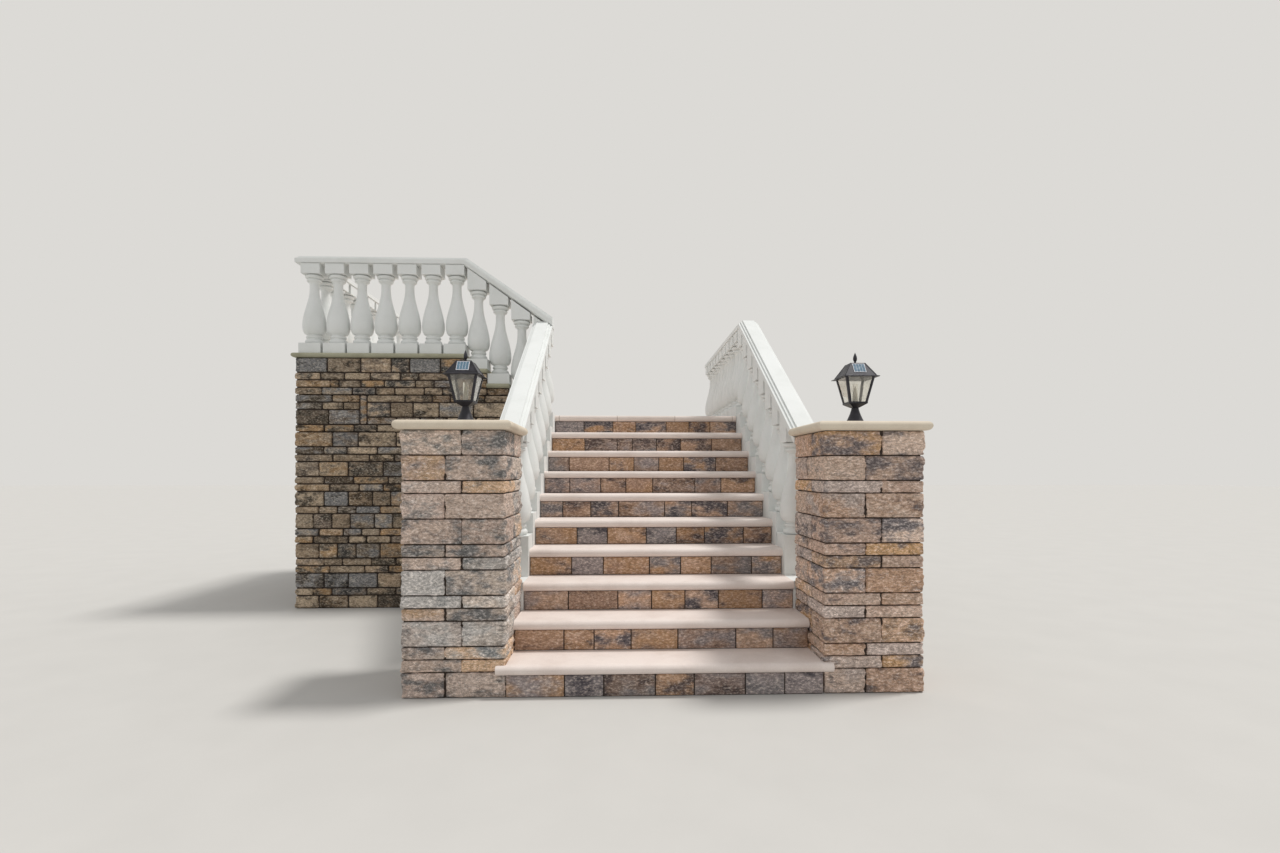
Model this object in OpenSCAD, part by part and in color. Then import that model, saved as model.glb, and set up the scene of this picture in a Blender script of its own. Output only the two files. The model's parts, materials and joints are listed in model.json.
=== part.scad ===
// Outdoor stone steps. A lower flight climbs between two piers to a landing, and a short flight
// turns left from the landing to an upper landing. Turned balusters and moulded rails guard them.
// Millimetres. X runs to the right, Y towards the house and Z up. The origin is on the ground,
// midway between the piers, in the plane of their front faces.

/* [Flights] */
// Height of one step
riser_h = 193.3; // [170:0.1:205]
// Going of a step of the lower flight
going = 304; // [280:1:330]
// Going of a step of the left flight
left_going = 254; // [235:1:275]
// Clear width of the lower flight between its baluster plinths
stair_w = 1890; // [1700:10:2200]
// Distance from the middle of the lower flight to the first riser of the left flight
left_start = 1332; // [1310:1:1400]
// Thickness of a tread slab and of the landing paving
tread_t = 59; // [45:1:70]
// Overhang of a nosing past the riser stones
nosing = 26; // [18:1:35]
// Depth from front to back of the riser stones
facing_t = 40; // [30:1:60]
// Joint between the slabs of the landing's paving
slab_joint = 3; // [2:0.5:6]
// Reach of the first tread past each pier's inner face
tread_ear = 58; // [40:1:90]

/* [Walls] */
// Thickness of the landing walls
wall_t = 240; // [230:5:290]
// Rise of five courses of wall stone, from one main bed joint to the next
bed_rise = 367.5; // [330:0.5:400]
// Height of a main bed joint
bed_joint_h = 10; // [6:1:14]
// Depth to which a main bed joint is raked back
bed_joint_depth = 14; // [8:1:20]
// Least depth of the stepped strings under the inner corners of the steps
string_depth = 110; // [80:5:150]
// Depth of the landings from the top riser to the house
landing_depth = 2414; // [2000:10:2800]
// Thickness of the concrete decks under the landing paving
deck_t = 150; // [120:5:200]
// Thickness of the stub wall that carries the upper landing at the left flight
stub_t = 160; // [120:5:220]

/* [Piers] */
// Width of a pier
pier_w = 620; // [560:10:700]
// Depth of a pier
pier_d = 610; // [570:10:640]
// Height of a pier under its cap
pier_h = 1600; // [1590:1:1610]
// Set-back of each pier's inner face from the side of the lower flight
pier_set_back = 14; // [0:1:40]
// Thickness of a pier cap
cap_t = 57; // [45:1:70]
// Overhang of a pier cap
cap_over = 38; // [25:1:50]

/* [Coping] */
// Thickness of the wall coping
coping_t = 44; // [35:1:60]
// Overhang of the wall coping
coping_over = 24; // [18:1:40]
// Height of the coping above the upper landing's paving
coping_lip = 10; // [5:1:30]

/* [Balusters] */
// Spacing of the balusters on the lower flight, the landing and the upper landing's left side
pitch = 240; // [232:1:260]
// Spacing of the balusters on the left flight
left_pitch = 218; // [217:1:235]
// Spacing of the balusters along the upper landing's front
upper_pitch = 237; // [230:1:260]
// Width of a square plinth
plinth_w = 214; // [200:1:216]
// Height of a square plinth on a level run
plinth_h = 105; // [90:1:130]
// Height of the turned body
body_h = 695; // [660:1:730]
// Greatest radius of the belly
belly_r = 110; // [100:1:115]
// Height of the belly's widest ring above the plinth
belly_z = 178; // [165:1:200]
// Radius of the neck
neck_r = 44; // [38:1:52]
// Width of the square block under the rail
block_w = 185; // [176:1:195]
// Height of that block on a level run
block_h = 97; // [80:1:120]
// Height of that block at its middle on the lower flight
rake_block_h = 175; // [165:1:190]

/* [Rails] */
// Width of a rail
rail_w = 130; // [120:1:150]
// Depth of a rail
rail_h = 80; // [70:1:95]
// Radius of the two rounds along each top edge of a rail
rail_round = 10; // [8:0.5:14]
// Height of the quirk over each round
rail_quirk = 3; // [1.5:0.5:5]
// Reach of the upper front rail past the corner baluster
rail_horn = 148; // [100:1:160]

/* [Lanterns] */
// Diameter of the lantern's spread foot
foot_d = 128; // [100:1:150]
// Height of the foot
foot_h = 112; // [90:1:130]
// Diameter of the narrow neck over the foot
foot_neck_d = 44; // [34:1:54]
// Width of the glazed body at its base
glazed_base_w = 122; // [105:1:135]
// Width of the glazed body under the roof
glazed_top_w = 188; // [165:1:200]
// Height of the glazed body
glazed_h = 157; // [135:1:185]
// Height of the cup under the glazed body
lantern_cup_h = 35; // [25:1:45]
// Width of a corner bar
bar_w = 16; // [12:1:20]
// Thickness of the sheet metal of the corner bars
bar_t = 4; // [2.5:0.5:6]
// Width of the roof at its eaves
eave_w = 236; // [215:1:250]
// Height of the flared eaves
eave_h = 10; // [6:1:14]
// Width of the flat top of the roof
roof_top_w = 92; // [75:1:110]
// Height of the roof above the eaves
roof_h = 86; // [65:1:100]
// Height of the finial
finial_h = 74; // [60:1:95]
// Radius of the lamp tube inside the glass
lamp_r = 17; // [12:1:22]
// Height of the lamp tube
lamp_h = 120; // [90:1:130]
// Thickness of a pane
pane_t = 3; // [2:1:4]

/* [Hidden] */

LEFT = -1;
RIGHT = 1;
FAR = 9000;

lower_risers = 10;
left_risers = 3;
left_drops = left_risers + 1;
upper_bays = 6;

// Heights of the floors
landing_z = lower_risers * riser_h;
upper_z = landing_z + left_risers * riser_h;
coping_z = upper_z + coping_lip;
coping_drop = (coping_z - landing_z) / left_drops;

// Lines in plan
stair_half = stair_w / 2;
pier_half = stair_half + pier_set_back;
string_x = stair_half + plinth_w;
baluster_x = stair_half + plinth_w / 2;
landing_y = (lower_risers - 1) * going;
house_y = landing_y + landing_depth;
corner_y = landing_y - plinth_w / 2;
wall_front_y = landing_y - wall_t;
back_y = house_y - wall_t;
upper_riser_x = left_start + (left_risers - 1) * left_going;
upper_corner_x = baluster_x + left_drops * left_pitch + upper_bays * upper_pitch;
left_inner_x = upper_corner_x - plinth_w / 2;
left_outer_x = left_inner_x + wall_t;

// Rails and the rake of the lower flight
rake = atan(riser_h / going);
rail_over = plinth_h + body_h + block_h + rail_h;
rail_z = landing_z + rail_over;
upper_rail_z = coping_z + rail_over;
rail_drop_h = rail_h / cos(rake);
rake_plinth_z = rail_z - rail_drop_h - rake_block_h - body_h;
left_rail_low_x = baluster_x - rail_w / 2;
left_rail_high_x = baluster_x + (left_drops - 0.5) * left_pitch;
left_rake = atan((upper_rail_z - rail_z) / (left_rail_high_x - left_rail_low_x));

// How many balusters fit
lower_count = floor((corner_y - plinth_w / 2 - pier_d - cap_over) / pitch);
landing_count = floor((house_y - plinth_w / 2 - corner_y) / pitch);

// Colours
cast_cream = [0.86, 0.82, 0.76];
cast_white = [0.90, 0.91, 0.89];
coping_buff = [0.70, 0.69, 0.60];
rubble_tan = [0.60, 0.50, 0.40];
concrete_grey = [0.62, 0.61, 0.58];
lantern_bronze = [0.16, 0.15, 0.15];
lantern_clear = [0.80, 0.84, 0.82, 0.5];

function riser_y(k) = (k - 1) * going;
function left_riser_x(k) = left_start + (k - 1) * left_going;
function coping_top(i) = landing_z + i * coping_drop;
function coping_edge_x(i) = baluster_x + (i - 0.5) * left_pitch;

// Slab section with a half-round nosing, its nose at the origin and its top at t
module nosed_section(depth, t) {
    translate([t / 2, t / 2]) circle(d = t, $fn = 48);
    translate([t / 2, 0]) square([depth - t / 2, t]);
}

// Slab across the stair with its nose to the front
module cross_slab(left, right, front, back, top) {
    translate([left, front, top - tread_t])
        rotate([90, 0, 90]) linear_extrude(right - left) nosed_section(back - front, tread_t);
}

// Tread k of the lower flight runs back under the riser stones of the next step
module lower_tread(k) {
    half = k < 3 ? pier_half : stair_half;
    color(cast_cream) {
        cross_slab(-half, half, riser_y(k) - nosing, riser_y(k + 1) + facing_t, k * riser_h);
        if (k == 1) intersection() {
            cross_slab(-pier_half - tread_ear, pier_half + tread_ear, -nosing, facing_t, riser_h);
            translate([-FAR / 2, -nosing, 0]) cube([FAR, nosing, riser_h]);
        }
    }
}

// Outline of the concrete steps under the treads, from the side
function core_steps() = [for (k = [1 : lower_risers]) each [
    [riser_y(k) + facing_t, (k - 1) * riser_h - (k == 1 ? 0 : tread_t)],
    [riser_y(k) + facing_t, k * riser_h - tread_t]]];

module core_side(half) {
    translate([-half, 0, 0]) rotate([90, 0, 90]) linear_extrude(2 * half)
        polygon(concat(core_steps(),
            [[landing_y + facing_t + stub_t, landing_z - tread_t], [landing_y + facing_t + stub_t, 0]]));
}

module lower_flight_core() color(concrete_grey) {
    core_side(stair_half);
    intersection() {
        core_side(pier_half);
        translate([-FAR / 2, 0, 0]) cube([FAR, pier_d, FAR]);
    }
}

module riser_facings() color(rubble_tan) {
    for (k = [1 : lower_risers]) {
        half = k < 3 ? pier_half : stair_half;
        translate([-half, riser_y(k), (k - 1) * riser_h]) cube([2 * half, facing_t, riser_h - tread_t]);
    }
    for (k = [1 : left_risers]) {
        sunk = k == 1 ? tread_t : 0;
        translate([-left_riser_x(k) - facing_t, landing_y, landing_z + (k - 1) * riser_h - sunk])
            cube([facing_t, landing_depth, riser_h - tread_t + sunk]);
    }
}

// White string of the lower flight, stepped on top and straight beneath it
function string_bottom(y) = y * riser_h / going - string_depth;
function string_steps() = [for (k = [3 : lower_risers - 1]) each [
    [max(riser_y(k), pier_d), k * riser_h], [riser_y(k + 1), k * riser_h]]];

// Stepped prism on the right side between a straight line beneath and the tread levels
module stepped_side(low_z, high_z) {
    translate([stair_half, 0, 0]) rotate([90, 0, 90]) linear_extrude(plinth_w)
        polygon(concat([[pier_d, low_z]], string_steps(), [[landing_y, high_z]]));
}

module string_solid() stepped_side(string_bottom(pier_d), string_bottom(landing_y));

module string_left() color(cast_white) mirror([1, 0, 0]) string_solid();
module string_right() color(cast_white) string_solid();

// Flank wall under a string, which on the right runs on under the landing
module flank_left() color(rubble_tan)
    translate([-string_x, 0, 0]) rotate([90, 0, 90]) linear_extrude(plinth_w)
        polygon([[pier_d, 0], [landing_y, 0], [landing_y, string_bottom(landing_y)],
            [pier_d, string_bottom(pier_d)]]);

module flank_right() color(rubble_tan)
    translate([stair_half, 0, 0]) rotate([90, 0, 90]) linear_extrude(plinth_w)
        polygon([[pier_d, 0], [house_y, 0], [house_y, landing_z - tread_t], [landing_y, landing_z - tread_t],
            [landing_y, string_bottom(landing_y)], [pier_d, string_bottom(pier_d)]]);

module pier_solid() translate([pier_half, 0, 0]) cube([pier_w, pier_d, pier_h]);

module pier_left() color(rubble_tan) mirror([1, 0, 0]) pier_solid();
module pier_right() color(rubble_tan) pier_solid();

// Cap with a half-round edge on all four sides, mitred at its corners
module round_slab(w, d, t) {
    intersection() {
        rotate([90, 0, 90]) linear_extrude(w) hull_section(d, t);
        translate([0, d, 0]) rotate([90, 0, 0]) linear_extrude(d) hull_section(w, t);
    }
}

module hull_section(w, t) {
    for (x = [t / 2, w - t / 2]) translate([x, t / 2]) circle(d = t, $fn = 48);
    translate([t / 2, 0]) square([w - t, t]);
}

module cap_solid()
    translate([pier_half - cap_over, -cap_over, pier_h])
        round_slab(pier_w + 2 * cap_over, pier_d + 2 * cap_over, cap_t);

module cap_left() color(cast_cream) mirror([1, 0, 0]) cap_solid();
module cap_right() color(cast_cream) cap_solid();

// Square form that shows the same section from the front and from the side
module mitred() intersection() {
    translate([0, eave_w, 0]) rotate([90, 0, 0]) linear_extrude(2 * eave_w) children();
    translate([-eave_w, 0, 0]) rotate([90, 0, 90]) linear_extrude(2 * eave_w) children();
}

glass_z = foot_h + lantern_cup_h;
eave_z = glass_z + glazed_h;
roof_z = eave_z + eave_h;
foot_rim = 5;
cup_rim = 11;
eave_lip = 3;
eave_reach = 17;
// Depth to which the corner bars run into the cup and the eaves
bar_bond = 2;
flare_steps = 6;
finial_stem_r = 7;
finial_bulge = 8;
finial_tip_r = 1;
finial_steps = 9;

// Width of the glazed body at a height above its base
function glazed_w(z) = glazed_base_w + (glazed_top_w - glazed_base_w) * z / glazed_h;
function flare_r(s) = foot_neck_d / 2 + (foot_d - foot_neck_d) / 2 * pow(1 - s, 1.35);
function finial_r(s) = finial_tip_r * s + finial_stem_r * (1 - s) + finial_bulge * sin(180 * pow(s, 0.75));

// Slice of the glazed body between two heights, drawn in by the given depth on each side
module glazed_slice(inset, low, high) polygon([
    [inset - glazed_w(low) / 2, glass_z + low], [glazed_w(low) / 2 - inset, glass_z + low],
    [glazed_w(high) / 2 - inset, glass_z + high], [inset - glazed_w(high) / 2, glass_z + high]]);

module foot_section() polygon(concat([[0, 0], [foot_d / 2, 0]],
    [for (i = [0 : flare_steps]) let (s = i / flare_steps) [flare_r(s), foot_rim + s * (foot_h - foot_rim)]],
    [[foot_neck_d / 2, foot_h + bar_bond], [0, foot_h + bar_bond]]));

module cup_section() polygon([
    [-foot_neck_d / 2, foot_h], [foot_neck_d / 2, foot_h], [glazed_base_w / 2, glass_z - cup_rim],
    [glazed_base_w / 2, glass_z], [-glazed_base_w / 2, glass_z], [-glazed_base_w / 2, glass_z - cup_rim]]);

module roof_section() polygon([
    [-eave_w / 2, eave_z], [eave_w / 2, eave_z], [eave_w / 2, eave_z + eave_lip],
    [eave_w / 2 - eave_reach, roof_z], [roof_top_w / 2, roof_z + roof_h], [-roof_top_w / 2, roof_z + roof_h],
    [eave_reach - eave_w / 2, roof_z], [-eave_w / 2, eave_z + eave_lip]]);

module finial_section() polygon(concat([[0, -bar_bond], [finial_stem_r, -bar_bond]],
    [for (i = [0 : finial_steps]) let (s = i / finial_steps) [finial_r(s), finial_h * (0.2 + 0.8 * s)]],
    [[0, finial_h]]));

// Four corner bars of angle section, left where the panes' openings cut through the body
module corner_bars() difference() {
    mitred() glazed_slice(0, -bar_bond, glazed_h + bar_bond);
    mitred() glazed_slice(bar_t, -2 * bar_bond, glazed_h + 2 * bar_bond);
    for (a = [0, 90]) rotate([0, 0, a]) translate([0, eave_w, 0]) rotate([90, 0, 0])
        linear_extrude(2 * eave_w) glazed_slice(bar_w, -2 * bar_bond, glazed_h + 2 * bar_bond);
}

module lantern_frame() {
    rotate_extrude($fn = 48) foot_section();
    mitred() cup_section();
    corner_bars();
    mitred() roof_section();
    translate([0, 0, roof_z + roof_h]) rotate_extrude($fn = 32) finial_section();
}

module lantern_glazing() {
    difference() {
        mitred() glazed_slice(bar_t, 0, glazed_h);
        mitred() glazed_slice(bar_t + pane_t, -bar_bond, glazed_h + bar_bond);
    }
    translate([0, 0, glass_z]) cylinder(h = lamp_h, r = lamp_r, $fn = 24);
}

module on_pier(side)
    translate([side * (pier_half + pier_w / 2), pier_d / 2, pier_h + cap_t]) children();

module lantern_left() color(lantern_bronze) on_pier(LEFT) lantern_frame();
module lantern_right() color(lantern_bronze) on_pier(RIGHT) lantern_frame();
module lantern_glass_left() color(lantern_clear) on_pier(LEFT) lantern_glazing();
module lantern_glass_right() color(lantern_clear) on_pier(RIGHT) lantern_glazing();

// Landing paving with a nose over the top riser, the slab at the foot of the left flight, and the
// coping under the landing's balusters
module landing_slab() color(cast_cream) {
    cross_slab(-stair_half, stair_half - slab_joint, landing_y - nosing, house_y, landing_z);
    translate([-left_start, landing_y, landing_z - tread_t])
        cube([left_start - stair_half - slab_joint, landing_depth, tread_t]);
    translate([string_x + coping_over, 0, landing_z - tread_t]) mirror([1, 0, 0])
        along_wall(landing_y, house_y) nosed_section(plinth_w + coping_over, tread_t);
}

// Concrete decks that span between the walls under the paving
module floor_decks() color(concrete_grey) {
    front = landing_y + facing_t + stub_t;
    translate([-left_start - facing_t, front, landing_z - tread_t - deck_t])
        cube([left_start + facing_t + stair_half, back_y - front, deck_t]);
    translate([-left_start - facing_t, landing_y, landing_z - tread_t - deck_t])
        cube([left_start + facing_t - stair_half, facing_t + stub_t, deck_t]);
    translate([-left_inner_x, landing_y, upper_z - tread_t - deck_t])
        cube([left_inner_x - upper_riser_x - facing_t - stub_t, back_y - landing_y, deck_t]);
}

// Outline under the paving and treads of the left flight, from the front
function left_steps() = [for (k = [1 : left_risers]) each [
    [-left_riser_x(k) - facing_t, landing_z + (k - 1) * riser_h - tread_t],
    [-left_riser_x(k) - facing_t, landing_z + k * riser_h - tread_t]]];

module along_wall(front, back)
    translate([0, back, 0]) rotate([90, 0, 0]) linear_extrude(back - front) children();

module left_flight_core() color(concrete_grey)
    along_wall(landing_y, back_y) polygon(concat(
        [[-left_start - facing_t, 0]], left_steps(),
        [[-upper_riser_x - facing_t - stub_t, upper_z - tread_t], [-upper_riser_x - facing_t - stub_t, 0]]));

module back_wall() color(rubble_tan) difference() {
    along_wall(back_y, house_y) polygon(concat(
        [[stair_half, 0], [stair_half, landing_z - tread_t]], left_steps(),
        [[-left_inner_x, upper_z - tread_t], [-left_inner_x, 0]]));
    bed_joints();
}

// Slab of the left flight with its nose towards the landing
module side_slab(front_x, back_x, top)
    translate([-front_x, 0, top - tread_t]) mirror([1, 0, 0])
        along_wall(landing_y, house_y) nosed_section(back_x - front_x, tread_t);

module left_tread(k) color(cast_cream)
    side_slab(left_riser_x(k) - nosing, left_riser_x(k + 1) + facing_t, landing_z + k * riser_h);

module left_tread_1() left_tread(1);
module left_tread_2() left_tread(2);
module upper_slab() color(cast_cream) side_slab(upper_riser_x - nosing, left_inner_x, upper_z);

// Front wall, stepped down beside the left flight, and the coping slabs that follow it
function wall_run(i) = [i == 1 ? string_x : coping_edge_x(i), i == left_drops ? left_outer_x : coping_edge_x(i + 1)];

module front_wall() color(rubble_tan) difference() {
    along_wall(wall_front_y, landing_y) polygon(concat([[-string_x, 0]],
        [for (i = [1 : left_drops]) each [
            [-wall_run(i)[0], coping_top(i) - coping_t], [-wall_run(i)[1], coping_top(i) - coping_t]]],
        [[-left_outer_x, 0]]));
    bed_joints();
}

module left_wall() color(rubble_tan) difference() {
    translate([-left_outer_x, landing_y, 0]) cube([wall_t, landing_depth, coping_z - coping_t]);
    bed_joints();
}

// Main bed joints, raked back all round the outside of the landing walls
module bed_joints() {
    inner = [-left_outer_x + bed_joint_depth, wall_front_y + bed_joint_depth];
    for (n = [1 : floor((coping_z - coping_t - bed_joint_h) / bed_rise)])
        translate([0, 0, coping_z - coping_t - n * bed_rise]) linear_extrude(bed_joint_h) difference() {
            translate([-FAR, -FAR]) square(2 * FAR);
            translate(inner) square([FAR, house_y - bed_joint_depth - inner[1]]);
        }
}

// Coping slab with its nose to the front, and on its left end too where the wall turns
module coping_slab(length, turns) {
    depth = wall_t + coping_over;
    if (turns) intersection() {
        rotate([90, 0, 90]) linear_extrude(length) nosed_section(depth, coping_t);
        along_wall(0, depth) nosed_section(length, coping_t);
    }
    else rotate([90, 0, 90]) linear_extrude(length) nosed_section(depth, coping_t);
}

module front_coping() color(coping_buff)
    for (i = [1 : left_drops]) {
        turns = i == left_drops;
        reach = wall_run(i)[1] + (turns ? coping_over : 0);
        translate([-reach, wall_front_y - coping_over, coping_top(i) - coping_t])
            coping_slab(reach - wall_run(i)[0], turns);
    }

module left_coping() color(coping_buff)
    translate([-left_outer_x - coping_over, 0, coping_z - coping_t])
        along_wall(landing_y, house_y) nosed_section(wall_t + coping_over, coping_t);

// Half section of the turned body, from the plinth up to the square block
foot_torus_r = 86;
foot_torus_h = 46;
foot_ring_r = 77;
foot_ring_h = 26;
foot_fillet_r = 66;
foot_gap = 10;
top_torus_r = 84;
top_torus_h = 34;
top_ring_r = 71;
top_ring_h = 22;
top_gap = 8;
belly_base_z = foot_torus_h + foot_ring_h + 2 * foot_gap;
neck_top_z = body_h - top_torus_h - top_ring_h - 2 * top_gap;
neck_low_z = neck_top_z - 60;
bow_steps = 8;
taper_steps = 16;
// Depth to which the round core runs on inside the plinth and the block, cast in one with them
body_bond = 6;

function bow_r(s) = foot_fillet_r + (belly_r - foot_fillet_r) * sqrt(1 - pow(1 - s, 2));
function taper_r(t) = neck_r + (belly_r - neck_r) * (0.5 + 0.5 * cos(180 * t));

module bead(r, h, z) {
    translate([r - h / 2, z + h / 2]) circle(d = h, $fn = 24);
    translate([0, z]) square([r - h / 2, h]);
}

module body_section() {
    translate([0, -body_bond]) square([neck_r, body_h + 2 * body_bond]);
    bead(foot_torus_r, foot_torus_h, 0);
    bead(foot_ring_r, foot_ring_h, foot_torus_h + foot_gap);
    square([foot_fillet_r, belly_base_z]);
    polygon(concat([[0, belly_base_z], [foot_fillet_r, belly_base_z]],
        [for (i = [1 : bow_steps - 1]) let (s = i / bow_steps)
            [bow_r(s), belly_base_z + s * (belly_z - belly_base_z)]],
        [for (i = [0 : taper_steps]) let (t = i / taper_steps)
            [taper_r(t), belly_z + t * (neck_low_z - belly_z)]],
        [[neck_r, neck_top_z - 16], [neck_r + 12, neck_top_z], [0, neck_top_z]]));
    translate([0, neck_top_z]) square([neck_r + 16, body_h - neck_top_z]);
    bead(top_ring_r, top_ring_h, neck_top_z + top_gap / 2);
    bead(top_torus_r, top_torus_h, body_h - top_torus_h - top_gap / 2);
}

module turned_body() rotate_extrude($fn = 48) body_section();

module centred_block(w, h) translate([-w / 2, -w / 2, 0]) cube([w, w, h]);

// Baluster of a level run, standing on z = 0
module level_baluster() {
    centred_block(plinth_w, plinth_h);
    translate([0, 0, plinth_h]) turned_body();
    translate([0, 0, plinth_h + body_h]) centred_block(block_w, block_h);
}

// Space under the lower flight's rail, and under the left flight's rail
module under_lower_rail()
    translate([0, corner_y, rail_z]) rotate([rake, 0, 0])
        translate([-FAR / 2, -FAR / 2, -rail_h - FAR]) cube([FAR, FAR, FAR]);

module under_left_rail()
    translate([-left_rail_low_x, corner_y, rail_z]) rotate([0, left_rake, 0])
        translate([-FAR / 2, -FAR / 2, -rail_h - FAR]) cube([FAR, FAR, FAR]);

// Baluster i of the lower flight on the right side, counted down from the corner. Its plinth is
// cut over the stepped string and its block under the rail.
module rake_baluster(i, top_h = 2 * rake_block_h) {
    y = corner_y - i * pitch;
    z = rake_plinth_z - i * pitch * tan(rake);
    foot_z = riser_h * ceil((y - plinth_w / 2 + 1) / going);
    translate([baluster_x, y, z]) turned_body();
    difference() {
        translate([baluster_x, y, foot_z]) centred_block(plinth_w, z - foot_z);
        stepped_side(0, 0);
    }
    if (i > 0) intersection() {
        translate([baluster_x, y, z + body_h]) centred_block(block_w, top_h);
        under_lower_rail();
    }
}

module balusters_lower_left() color(cast_white) {
    mirror([1, 0, 0]) for (i = [0 : lower_count]) rake_baluster(i);
    intersection() {
        translate([-baluster_x, corner_y, rake_plinth_z + body_h]) centred_block(block_w, 2 * rake_block_h);
        union() {
            intersection() {
                under_left_rail();
                translate([-FAR / 2, corner_y - rail_w / 2, 0]) cube([FAR, FAR, FAR]);
            }
            under_lower_rail();
        }
    }
}

module balusters_lower_right() color(cast_white) {
    for (i = [0 : lower_count]) rake_baluster(i);
    intersection() {
        translate([baluster_x, corner_y, rake_plinth_z + body_h]) centred_block(block_w, 2 * rake_block_h);
        under_lower_rail();
        translate([-FAR / 2, -FAR / 2, 0]) cube([FAR, FAR, rail_z - rail_h]);
    }
}

module balusters_landing() color(cast_white)
    for (i = [1 : landing_count]) translate([baluster_x, corner_y + i * pitch, landing_z]) level_baluster();

module balusters_left_flight() color(cast_white)
    for (i = [1 : left_risers]) {
        x = -baluster_x - i * left_pitch;
        z = coping_top(i);
        translate([x, corner_y, z]) centred_block(plinth_w, plinth_h);
        translate([x, corner_y, z + plinth_h]) turned_body();
        intersection() {
            translate([x, corner_y, z + plinth_h + body_h]) centred_block(block_w, 3 * block_h);
            under_left_rail();
        }
    }

module balusters_upper_front() color(cast_white)
    for (i = [0 : upper_bays])
        translate([-upper_corner_x + i * upper_pitch, corner_y, coping_z]) level_baluster();

module balusters_upper_left() color(cast_white)
    for (i = [1 : landing_count]) translate([-upper_corner_x, corner_y + i * pitch, coping_z]) level_baluster();

// Rail section with its top at the origin. Each top edge steps down in two rounds with a quirk over
// each, and the foot is cut under.
rail_foot_in = 13;
rail_foot_h = 10;

// One side of a rail along Z, from its outer face at the origin inwards to the given depth
module rail_side(depth, length) {
    step = rail_quirk + rail_round;
    linear_extrude(length)
        polygon([[-depth, 0], [-2 * rail_round, 0], [-2 * rail_round, -step], [-rail_round, -step],
            [-rail_round, -2 * step], [0, -2 * step], [0, rail_foot_h - rail_h], [-rail_foot_in, -rail_h],
            [-depth, -rail_h]]);
    for (i = [1, 2])
        translate([(i - 3) * rail_round, -i * step, 0]) cylinder(h = length, r = rail_round, $fn = 48);
}

// Rail along -Y from y = ahead back to y = -run
module rail_bar(ahead, run) translate([0, ahead, 0]) rotate([90, 0, 0]) union() {
    translate([rail_w / 2, 0, 0]) rail_side(0.6 * rail_w, ahead + run);
    mirror([1, 0, 0]) translate([rail_w / 2, 0, 0]) rail_side(0.6 * rail_w, ahead + run);
}

// Half space ahead of the plane through the origin that leans back by the given angle
module ahead_of(lean) rotate([lean, 0, 0]) translate([-FAR / 2, 0, -FAR / 2]) cube([FAR, FAR, FAR]);

// Height of the lower flight's rail at its underside, and its reach under a pier cap's overhang
function rake_rail_bottom(y) = rail_z - rail_drop_h - (corner_y - y) * tan(rake);
rail_under_cap = max(0, min(cap_over, (pier_h - rake_rail_bottom(pier_d + cap_over)) / tan(rake)));

// Rail of the lower flight on the right side, open at its upper end
module rake_rail() difference() {
    translate([baluster_x, corner_y, rail_z]) rotate([rake, 0, 0]) rail_bar(rail_w, 1.5 * landing_y);
    translate([-FAR / 2, pier_d + cap_over - rail_under_cap - FAR, -FAR / 2]) cube([FAR, FAR, FAR]);
    translate([-FAR / 2, pier_d + cap_over - FAR, pier_h]) cube([FAR, FAR, FAR]);
}

module rail_lower_left() color(cast_white) mirror([1, 0, 0]) difference() {
    rake_rail();
    translate([-FAR / 2, corner_y - rail_w / 2, -FAR / 2]) cube([FAR, FAR, FAR]);
}

module rail_lower_right() color(cast_white) difference() {
    rake_rail();
    translate([baluster_x, corner_y, rail_z]) ahead_of(rake / 2);
}

module rail_landing() color(cast_white) difference() {
    translate([baluster_x, corner_y, rail_z]) rail_bar(house_y - corner_y, rail_w);
    translate([baluster_x, corner_y, rail_z]) mirror([0, 1, 0]) ahead_of(-rake / 2);
}

// Turns a rail that runs along -Y so that it runs along +X
module towards_right() rotate([0, 0, 90]) children();

module rail_left_flight() color(cast_white) {
    rise_run = (left_rail_high_x - left_rail_low_x) / cos(left_rake);
    difference() {
        translate([-left_rail_high_x, corner_y, upper_rail_z]) rotate([0, left_rake, 0])
            towards_right() rail_bar(rail_w, rise_run + rail_w);
        translate([-left_rail_low_x, -FAR / 2, -FAR / 2]) cube([FAR, FAR, FAR]);
        translate([-left_rail_high_x, corner_y, upper_rail_z]) towards_right() ahead_of(left_rake / 2);
    }
}

// Space outside a free end at the origin, which is moulded as the sides are
module rail_end() rotate([90, 0, 0]) difference() {
    translate([-rail_h, -1.5 * rail_h, 0]) cube([2 * rail_h, 2 * rail_h, FAR]);
    mirror([1, 0, 0]) rail_side(3 * rail_h, FAR);
}

module rail_upper() color(cast_white) {
    difference() {
        translate([-left_rail_high_x, corner_y, upper_rail_z]) towards_right()
            rail_bar(upper_corner_x + rail_horn - left_rail_high_x, rail_w);
        translate([-left_rail_high_x, corner_y, upper_rail_z])
            towards_right() mirror([0, 1, 0]) ahead_of(-left_rake / 2);
        translate([-upper_corner_x - rail_horn, FAR / 2, upper_rail_z]) rail_end();
    }
    translate([-upper_corner_x, corner_y, upper_rail_z]) rail_bar(house_y - corner_y, 0);
}

module tread_1() lower_tread(1);
module tread_2() lower_tread(2);
module tread_3() lower_tread(3);
module tread_4() lower_tread(4);
module tread_5() lower_tread(5);
module tread_6() lower_tread(6);
module tread_7() lower_tread(7);
module tread_8() lower_tread(8);
module tread_9() lower_tread(9);

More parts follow.
